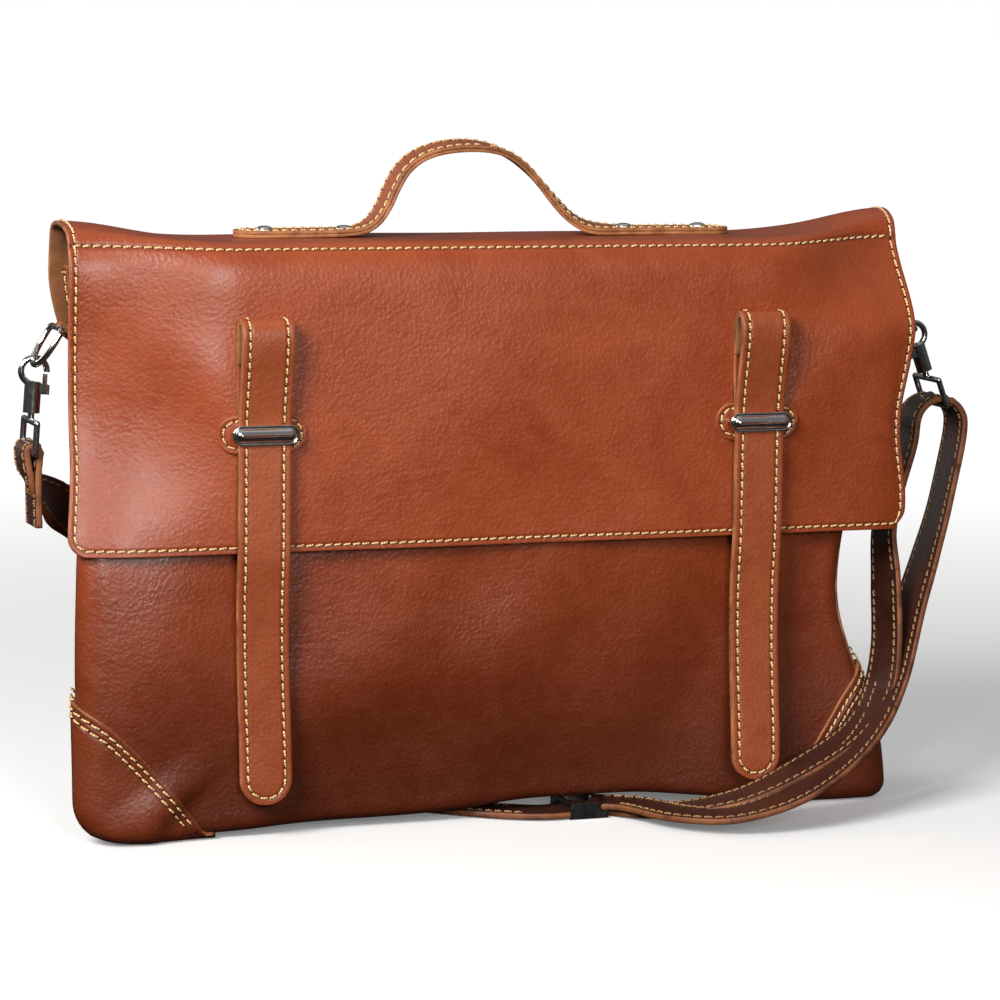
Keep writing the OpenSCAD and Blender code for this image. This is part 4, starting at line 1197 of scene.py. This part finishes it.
def build_closure_strap(side):
    """Two sewn layers with a rounded free end, and the end of the loop behind them."""
    name, loop = SIDES[side] + "_closure_strap", SIDES[side] + "_strap_loop"
    path = closure_path(side)
    half, thick = CLOSURE_W / 2, 1.5
    radius = half - 0.4
    skin = strap_skin(path, (1.0, 0, 0), half)
    end = skin.vs[-1]
    bend = ("flap", SIDES[side] + "_strap", (0, 0, (KEEPER_Z - 1) * MM), (0, 0, (KEEPER_Z - 15) * MM))
    seam = tongue_seam(half, -end, 0, radius, STITCH_INSET + 0.5) * [1, -1]
    u, v = rounded_grid(half, 0, end, radius, 0, 1.8, 2.2)
    attach(sheet(name, skin, u, v, 0.05, thick, STRAP_SET, seams=(seam,)), bend, "strap_leather", name)
    attach(sheet(name + "_backing", skin, u, v, -thick, -0.05, STRAP_SET), bend, "strap_leather")
    sew(name + "_stitches", skin, resample_seam(seam), thick, bend, "strap_leather")
    x, y_top, y_low = side * CLOSURE_X, path[-1][1] + 0.4, KEEPER_PATCH_LOW[1] - 0.95
    back = spline([(x, y_low, KEEPER_Z + 2), (x, y_low, KEEPER_Z + 10), (x, y_top, LOOP_HIGH[2] - 30),
                   (x, y_top, LOOP_HIGH[2] - 18)], 60)
    back_skin = strap_skin(back, (1.0, 0, 0), half)
    u, v = grid(edged(-half, half, 2.2, 1.0, 4.0), fill(0, back_skin.vs[-1], 2.2))
    attach(sheet(loop, back_skin, u, v, -0.8, 0.8, STRAP_SET), "flap", "strap_leather", loop)
    build_snap(side, skin)


def build_snap(side, skin):
    """Snap disc on the back of the strap."""
    name = SIDES[side] + "_snap_plug"
    low, high = corners(name)
    v = (low[2] + high[2]) / 2 - TAIL_LOW[2]
    place, out = skin.at(0.0, v), skin.normal(0.0, v)
    profile = [(0.01, 2.3), (3.4, 2.3), (3.9, 1.9), (4.2, 1.2), (6.4, 0.9), (7.0, 0.6), (7.0, 0.0),
               (0.01, 0.0)]
    disc = make_mesh(name, *lathe(profile, place - out * 1.5, -out), [CHROME])
    attach(disc, SIDES[side] + "_strap", "chrome", name)


# ---------------------------------------------------------------- handle

HANDLE_W = LOWER_HIGH[1] - LOWER_LOW[1]
HANDLE_END = LOWER_HIGH[0]
LAYER = 1.6  # thickness of one layer of the handle
HANDLE_TOP = 2 * LAYER + 0.2  # grain side of its upper layer


def handle_skin():
    """The arch leans: steep on the left, easier and a little turned on the right."""
    path = spline([(x, 0.0, TOP_Z + h) for x, h in (
        (-HANDLE_END, 0), (-112, 0), (-90, 0.1), (-74, 0.4), (-64, 1.6), (-56.5, 6), (-51, 13.5), (-47, 22),
        (-42, 30.4), (-34, 37), (-22, 40.9), (-8, 42), (5, 40), (15, 35), (23.5, 27.6), (31, 19.4),
        (38.5, 11.4), (47, 4.8), (57, 1.4), (74, 0.3), (92, 0.1), (112, 0), (HANDLE_END, 0))], 420)
    ahead = unit(np.gradient(path, axis=0))
    x = path[:, 0]
    turn = np.radians(16 * hill(x, 36, 22) - 5 * hill(x, -50, 16) + 5 * hill(x, -10, 22))
    level = np.array([0.0, -1.0, 0.0])
    across = level * np.cos(turn)[:, None] - np.cross(level, ahead) * np.sin(turn)[:, None]
    path[:, 1] += 1.5 * hill(x, -8, 50)
    return strap_skin(path, across, HANDLE_W / 2)


def build_handle():
    """Two sewn layers, four rivets through the flap and the backing strip under it."""
    skin = handle_skin()
    half, end = HANDLE_W / 2, skin.vs[-1]
    radius = half - 0.4
    seam = tongue_seam(half, 0, end, radius, STITCH_INSET, both=True)
    u, v = rounded_grid(half, 0, end, radius, radius, 1.8, 1.8)
    for name, low, seams in (("handle_lower_layer", 0.1, ()), ("handle_upper_layer", 0.2 + LAYER, (seam,))):
        layer = sheet(name, skin, u, v, low, low + LAYER, [HANDLE_LEATHER, HANDLE_LEATHER, CUT_EDGE], seams)
        attach(layer, "top", "strap_leather", name)
    sew("handle_stitches", skin, resample_seam(seam), HANDLE_TOP, "top", "strap_leather")
    backing_half, backing_thick = 15, 1.4
    under = level_skin(TOP_Z - SKIN - 0.1, facing=-1)
    u, v = rounded_grid(backing_half, -HANDLE_END, HANDLE_END, 14.6, 14.6, 2.5, 3.0)
    backing = sheet("handle_backing", under, v, -u, 0, backing_thick, SUEDE_SET)
    attach(backing, "top", "suede", "handle_backing")
    head = [(4.1, -0.2), (4.25, 0.25), (4.0, 0.7), (3.4, 1.25), (2.5, 1.7), (1.4, 1.95), (0.02, 2.05)]
    foot = [(3.9, 0.0), (4.0, 0.5), (3.6, 1.0), (0.02, 1.1)]
    parts = []
    for x in (-73, 73, -113, 113):
        parts.append(lathe(head, (x, 0, TOP_Z + HANDLE_TOP), (0, 0, 1)))
        parts.append(lathe(foot, (x, 0, TOP_Z - SKIN - 1.6), (0, 0, -1)))
    attach(make_mesh("handle_rivets", *join_parts(parts), [CHROME]), "top", "chrome", "handle_rivets")


# ---------------------------------------------------------------- rings, tabs and hooks

def build_ring(side):
    """D-ring of round wire, straight where it lies in its tab."""
    name = SIDES[side] + "_d_ring"
    pivot = joint_place(SIDES[side] + "_ring_swing")
    end = joint_place(SIDES[side] + "_clip_swing")
    half, corner, wire = 12.5, 3.2, 1.55
    leg = np.linalg.norm(end - pivot) - half
    quarter = np.linspace(0, math.pi / 2, 6)
    turn = [(corner - corner * math.sin(t), half - corner + corner * math.cos(t)) for t in quarter]
    shape = [(p, -q) for p, q in reversed(turn)]
    shape += [(leg + half * math.sin(t), -half * math.cos(t)) for t in np.linspace(0, math.pi, 26)]
    shape += turn
    out, wide = unit(end - pivot), np.array([0.0, 1.0, 0.0])
    path = np.array([pivot + p * out + q * wide for p, q in shape])
    ring = make_mesh(name, *tube(path, wire, 16, closed=True), [CHROME])
    attach(ring, SIDES[side] + "_ring", "chrome", name)


def build_ring_tab(side):
    """Leather folded round the ring bar, riveted to the side of the case."""
    name = SIDES[side] + "_ring_tab"
    pivot = joint_place(SIDES[side] + "_ring_swing")
    low, high = corners(name)
    x, z = abs(pivot[0]), pivot[2]
    loop_radius, thick = 2.5, 0.8
    loop = [(x + loop_radius * math.cos(t), z + loop_radius * math.sin(t))
            for t in np.radians(np.linspace(-62, 196, 16))]
    path = [(x - 6.4, low[2]), (x - 6.3, low[2] + 10), (x - 5.6, z - 11), (x - 3.2, z - 6.2)] + loop
    path += [(x - 6.2, z - 6.6), (x - 8.0, z - 13), (x - 8.3, low[2] + 8), (x - 8.3, low[2])]
    half = (high[1] - low[1]) / 2
    skin = strap_skin(spline([(side * px, 0.0, pz) for px, pz in path], 160), (0.0, side, 0.0), half)
    skin.points = slump(skin.points)
    u, v = grid(edged(-half, half, 1.8, 0.8, 3.0), fill(0, skin.vs[-1], 1.2))
    inner, foot, seam_top = half - 2.2, 2.6, 20.0
    seam = resample_seam(np.array([(inner, seam_top), (inner, foot), (-inner, foot), (-inner, seam_top)]))
    tab = sheet(name, skin, u, v, -thick, thick, STRAP_SET, seams=(seam,))
    attach(tab, "case", "strap_leather", name)
    sew(name + "_stitches", skin, seam, thick, "case", "strap_leather")
    rivet_v = 11.0
    place, out = skin.at(0.0, rivet_v), skin.normal(0.0, rivet_v)
    profile = [(3.2, -0.1), (3.3, 0.3), (2.9, 0.8), (1.9, 1.3), (0.02, 1.5)]
    rivet = make_mesh(SIDES[side] + "_tab_rivet", *lathe(profile, place + out * thick, out), [CHROME])
    attach(rivet, "case", "chrome", *(["tab_rivets"] if side > 0 else []))


def refinish(names, material):
    """Gives CAD pieces that are shown as they are a material of their own."""
    for name in names:
        mesh = frame["nodes"][name].data
        mesh.materials.clear()
        mesh.materials.append(material)


# ---------------------------------------------------------------- shoulder strap

STRAP_HALF, STRAP_THICK = 11.0, 1.5  # half width and half thickness
FLAT = 2.3  # height of the strap lying on the floor
LEVEL = (0, 1, 0)  # width direction of the strap where it isn't twisted
SLIDER_LOW, SLIDER_HIGH = corners("strap_slider")
SLIDER_X = (SLIDER_LOW[0] + SLIDER_HIGH[0]) / 2 + 1
SLIDER_Y = (SLIDER_LOW[1] + SLIDER_HIGH[1]) / 2


def long_strap_skin(stations, count, turn=1):
    """Skin along a smooth path through (point, width direction) stations; turn -1 faces it the other way."""
    points, across = zip(*stations)
    weight = 20  # of a width direction beside a length in millimetres
    joined = np.hstack([np.array(points, float), weight * unit(turn * np.array(across, float))])
    fine = spline(joined, count)
    run = lengths_along(fine[:, :3])
    at = np.linspace(0, run[-1], count)
    even = np.stack([np.interp(at, run, fine[:, k]) for k in range(6)], 1)
    return even[:, :3], strap_skin(even[:, :3], unit(even[:, 3:]), STRAP_HALF)


def clear_of_slider(point):
    """Whether a stitch at this point stays out of the slider through its whole slide."""
    x, _, z = point
    return z > SLIDER_HIGH[2] + 0.6 or x > SLIDER_HIGH[0] + 5 or x < SLIDER_LOW[0] - 22


def strap_stretch(name, skin, start, stop, body, nodes):
    """One stretch of the strap with two rows of stitches on each face."""
    count = max(3, int(round((stop - start) / 2.6)) + 1)
    u, v = grid(edged(-STRAP_HALF, STRAP_HALF, 2.2, 0.9, 3.6), np.linspace(start, stop, count))
    finish = [SHOULDER_LEATHER, SHOULDER_LEATHER, DARK_EDGE]
    piece = sheet(name, skin, u, v, -STRAP_THICK, STRAP_THICK, finish, open_sides=("v0", "v1"))
    attach(piece, body, "strap_leather", *nodes)
    inset = STRAP_HALF - STITCH_INSET
    for face, surface in (("outer", skin), ("inner", skin.turned())):
        for row, u in (("near", -inset), ("far", inset)):
            line = resample_seam(np.array([(u, start), (u, stop)]))
            threads = stitches("_".join((name, face, row, "stitches")), surface, line, STRAP_THICK,
                               STRAP_THREAD, lambda u, v: clear_of_slider(skin.at(u, v)))
            attach(threads, body, "strap_leather")


def height_cut(path, z, from_start):
    """Length along a path at which it passes a height, on its way up from its start or down to its end."""
    above = path[:, 2] > z
    k = int(np.argmax(above)) if from_start else len(path) - 1 - int(np.argmax(above[::-1]))
    return lengths_along(path)[k]


def strap_bends(side, split, knee, foot):
    """Bodies of a hanging strap: with the clip above split, bending by the ring down to the case at foot."""
    clip, ring = SIDES[side] + "_clip", SIDES[side] + "_ring"
    down = [(0, 0, z * MM) for z in (split, knee, foot)]
    return clip, (clip, ring, down[0], down[1]), (ring, "case", down[1], down[2]), "case"


def hang(label, skin, cuts, bodies, nodes):
    """Cuts the strap at lengths along it, so that its upper end follows the hook."""
    for index, body in enumerate(bodies):
        name = "%s_%d" % (label, index + 1)
        strap_stretch(name, skin, cuts[index], cuts[index + 1], body, nodes.get(index + 1, ()))


def build_right_strap():
    """Up from the slider, over the right swivel eye and down again, doubled."""
    high = corners("right_strap_end")[1]
    bar_x, bend = high[0] - 17.5, 13.5
    bend_z = high[2] - 1.5 - bend
    inner_x, outer_x = bar_x - bend, bar_x + bend
    upper = 5.7  # height of the strap lying on its own lower run
    tipped = (0.05, 0.97, 0.12)
    inner = [((SLIDER_X + 4, SLIDER_Y, FLAT), LEVEL), ((SLIDER_X + 18, SLIDER_Y - 3, FLAT), (0.25, 1, 0)),
             ((83, -56, 5.6), (0.5, 0.85, 0.05)), ((113, -73, 14), (0.25, 0.97, 0.1)),
             ((147, -73, 28), tipped), ((175, -67, 42), tipped), ((192, -57, 58), (-0.1, 1, 0.1)),
             ((203, -43, 80), (-0.1, 1, 0.06)),
             ((210, -26, 110), (-0.12, 1, 0)), ((214, -14, 133), LEVEL), ((221, -7, 153), LEVEL),
             ((inner_x - 3.5, -2, bend_z - 14), LEVEL), ((inner_x - 0.6, 0, bend_z - 5), LEVEL)]
    arc = [((bar_x - bend * math.cos(t), 0, bend_z + bend * math.sin(t)), LEVEL)
           for t in np.radians(np.linspace(8, 172, 9))]
    outer = [((outer_x - 0.6, 0, bend_z - 7), LEVEL), ((outer_x - 5, -3, bend_z - 22), LEVEL),
             ((247, -9, 143), LEVEL), ((236, -18, 122), (-0.06, 1, 0)), ((223, -31, 102), (-0.1, 1, 0.04)),
             ((211, -44, 82), (-0.1, 1, 0.08)), ((198, -59, 64), (-0.08, 1, 0.1)), ((182, -74, 47), tipped),
             ((161, -85, 32), tipped), ((132, -93, 18), (0.1, 1, 0.12)), ((103, -90, 9.4), (0.3, 0.95, 0.08)),
             ((82, -74, 7.2), (0.5, 0.85, 0.05)),
             ((SLIDER_X + 22, SLIDER_Y - 14, upper + 0.6), (0.4, 0.9, 0)),
             ((SLIDER_X + 4, SLIDER_Y, upper), LEVEL)]
    path, skin = long_strap_skin(inner + arc + outer, 700)
    split, knee, foot = bend_z - 24, 112.0, 52.0
    rising = [height_cut(path, z, from_start=True) for z in (foot, knee, split)]
    falling = [height_cut(path, z, from_start=False) for z in (split, knee, foot)]
    cuts = [0] + rising + falling + [skin.vs[-1]]
    clip, upper_bend, lower_bend, case = strap_bends(1, split, knee, foot)
    bodies = [case, lower_bend, upper_bend, clip, upper_bend, lower_bend, case]
    nodes = {1: ["shoulder_strap_right_run"], 4: ["right_strap_end"], 7: ["shoulder_strap_return_run"]}
    hang("shoulder_strap_right", skin, cuts, bodies, nodes)


def build_left_strap():
    """Folded over the left swivel eye, then behind the case and under it to the slider."""
    low, high = corners("left_strap_end")
    bar_x, bar_z = low[0] + 4.8, high[2] - 4.8
    bend = 3.4
    tail = [((bar_x + dx, 0, bar_z - down), LEVEL) for dx, down in ((2.6, 36), (2.4, 26), (2.2, 12))]
    fold = [((bar_x + bend * math.cos(t), 0, bar_z + bend * math.sin(t)), LEVEL)
            for t in np.radians(np.linspace(-20, 188, 11))]
    run = [((bar_x - 1.9, 0, bar_z - 10), LEVEL), ((bar_x + 3, 5, bar_z - 19), (0.3, 1, 0.1)),
           ((bar_x + 20, 24, bar_z - 30), (0.7, 0.7, 0.3)), ((-188, 48, bar_z - 44), (0.8, 0.4, 0.5)),
           ((-166, 62, bar_z - 66), (0.7, 0.1, 0.7)), ((-148, 68, 76), (0.5, 0.1, 0.85)),
           ((-136, 72, 36), (0.3, 0.5, 0.8)), ((-122, 74, 13), (0.3, 0.9, 0.3)),
           ((-100, 64, 3.2), (0.4, 0.9, 0)), ((-66, 40, FLAT), (0.55, 0.85, 0)),
           ((-20, -2, FLAT), (0.6, 0.8, 0)),
           ((SLIDER_X - 26, SLIDER_Y - 1, FLAT), (0.1, 1, 0)), ((SLIDER_X + 2, SLIDER_Y, FLAT), LEVEL)]
    path, skin = long_strap_skin(tail + fold + run, 620, turn=-1)
    split, knee, foot = bar_z - 30, 118.0, 66.0
    falling = [height_cut(path, z, from_start=False) for z in (split, knee, foot)]
    cuts = [0] + falling + [skin.vs[-1]]
    nodes = {1: ["left_strap_end"], 3: ["shoulder_strap_left_run"], 4: ["shoulder_strap_floor_run"]}
    hang("shoulder_strap_left", skin, cuts, strap_bends(-1, split, knee, foot), nodes)


# ---------------------------------------------------------------- build everything

build_panel("front_panel", FRONT, FRONT_HIGH[2])
build_panel("back_panel", BACK, BACK_HIGH[2] - 3)
build_bottom()
for name, skin, side in (("front_left_corner_patch", FRONT, -1), ("front_right_corner_patch", FRONT, 1),
                         ("back_left_corner_patch", BACK, 1), ("back_right_corner_patch", BACK, -1)):
    build_patch(name, skin, side)
for side in (1, -1):
    build_gusset(side)
    build_keeper_patch(side)
    build_keeper(side)
    build_closure_strap(side)
    build_ring(side)
    build_ring_tab(side)
build_interior()
build_flap()
build_handle()
build_right_strap()
build_left_strap()

BRIGHT = ["snap_sockets"]
for side in ("left", "right"):
    BRIGHT += [side + part for part in ("_swivel_eye", "_snap_hook", "_hook_gate", "_gate_pin")]
refinish(BRIGHT, CHROME)
refinish(["strap_slider"], DARK_CHROME)


# ---------------------------------------------------------------- floor, lights and camera

def build_stage():
    """Wide pale floor that glows softly far from the case, so it meets the backdrop unseen."""
    n = Nodes("studio_paper")
    far = n.add("ShaderNodeVectorMath", operation="LENGTH")
    n.link(n.place, far.inputs[0])
    near, wide = 0.35, 1.5  # distances between which the paper brightens
    glow = n.ramp(far.outputs["Value"], near, wide, 0.16, 1.0)
    shade = n.mix(n.noise(900, 2, 0.5), (0.84, 0.84, 0.84), (0.88, 0.88, 0.88))
    colour = n.mix(n.ramp(far.outputs["Value"], near, wide), shade, (0.10, 0.10, 0.10))
    n.set(Base_Color=colour, Roughness=0.9, Specular_IOR_Level=0.1,
          Emission_Color=(1, 1, 1, 1), Emission_Strength=glow)
    reach, count = 40000, 5
    us = np.linspace(-reach, reach, count)
    points = [(x, y, 0) for x in us for y in us]
    floor = make_mesh("studio_floor", points, grid_faces(count, count), [n.material])
    floor.visible_diffuse = False
    floor.visible_glossy = False


def area_light(name, place, target, size, power, tint=(1, 1, 1)):
    """A square lamp turned towards a target."""
    data = bpy.data.lights.new(name, "AREA")
    data.shape = "RECTANGLE"
    data.size, data.size_y = size, size
    data.energy, data.color = power, tint
    lamp = bpy.data.objects.new(name, data)
    lamp.location = place
    lamp.rotation_euler = (Vector(target) - Vector(place)).to_track_quat("-Z", "Y").to_euler()
    bpy.context.scene.collection.objects.link(lamp)


def build_lights():
    """Four lamps, and a sky that is faint to the leather and white to the camera."""
    middle = (0, 0, 0.15)
    area_light("key", (-1.30, -1.10, 1.20), middle, 0.8, 46, (1.0, 0.985, 0.96))
    area_light("front", (-0.22, -1.75, 0.62), (-0.1, 0, 0.2), 0.45, 13, (1.0, 0.99, 0.98))
    area_light("overhead", (0.1, 0.25, 2.1), middle, 2.0, 3)
    area_light("rear", (-1.5, 1.4, 1.0), middle, 1.2, 10)
    world = bpy.data.worlds.new("studio")
    world.use_nodes = True
    tree = world.node_tree
    place = tree.nodes.new("ShaderNodeTexCoord")
    split = tree.nodes.new("ShaderNodeSeparateXYZ")
    sky = tree.nodes.new("ShaderNodeMapRange")
    tree.links.new(place.outputs["Generated"], split.inputs[0])
    tree.links.new(split.outputs["Z"], sky.inputs["Value"])
    for key, value in (("From Min", -0.2), ("From Max", 0.9), ("To Min", 0.02), ("To Max", 0.22)):
        sky.inputs[key].default_value = value
    seen = tree.nodes.new("ShaderNodeLightPath")
    strength = tree.nodes.new("ShaderNodeMath")
    strength.operation = "MAXIMUM"
    tree.links.new(seen.outputs["Is Camera Ray"], strength.inputs[0])
    tree.links.new(sky.outputs["Result"], strength.inputs[1])
    tree.links.new(strength.outputs[0], tree.nodes["Background"].inputs["Strength"])
    tree.nodes["Background"].inputs["Color"].default_value = (1, 1, 1, 1)
    scene = bpy.context.scene
    scene.world = world
    scene.view_settings.view_transform = "Standard"
    scene.view_settings.look = "None"
    scene.view_settings.exposure = 0.0


def build_camera():
    """A long lens from the front left, looking a little down."""
    place = (-0.6306, -1.759, 0.402)
    yaw, pitch, roll = map(math.radians, (20.0, 7.51, 0.78))
    ahead = Vector((math.sin(yaw) * math.cos(pitch), math.cos(yaw) * math.cos(pitch), -math.sin(pitch)))
    right = Vector((math.cos(yaw), -math.sin(yaw), 0))
    up = right.cross(ahead)
    turned_right = right * math.cos(roll) + up * math.sin(roll)
    turned_up = up * math.cos(roll) - right * math.sin(roll)
    turn = Matrix((turned_right, turned_up, -ahead)).transposed().to_4x4()
    data = bpy.data.cameras.new("camera")
    data.lens = 136.8
    data.clip_end = 50  # metres, past the edge of the paper
    camera = bpy.data.objects.new("camera", data)
    camera.matrix_world = Matrix.Translation(place) @ turn
    bpy.context.scene.collection.objects.link(camera)
    bpy.context.scene.camera = camera


build_stage()
build_lights()
build_camera()
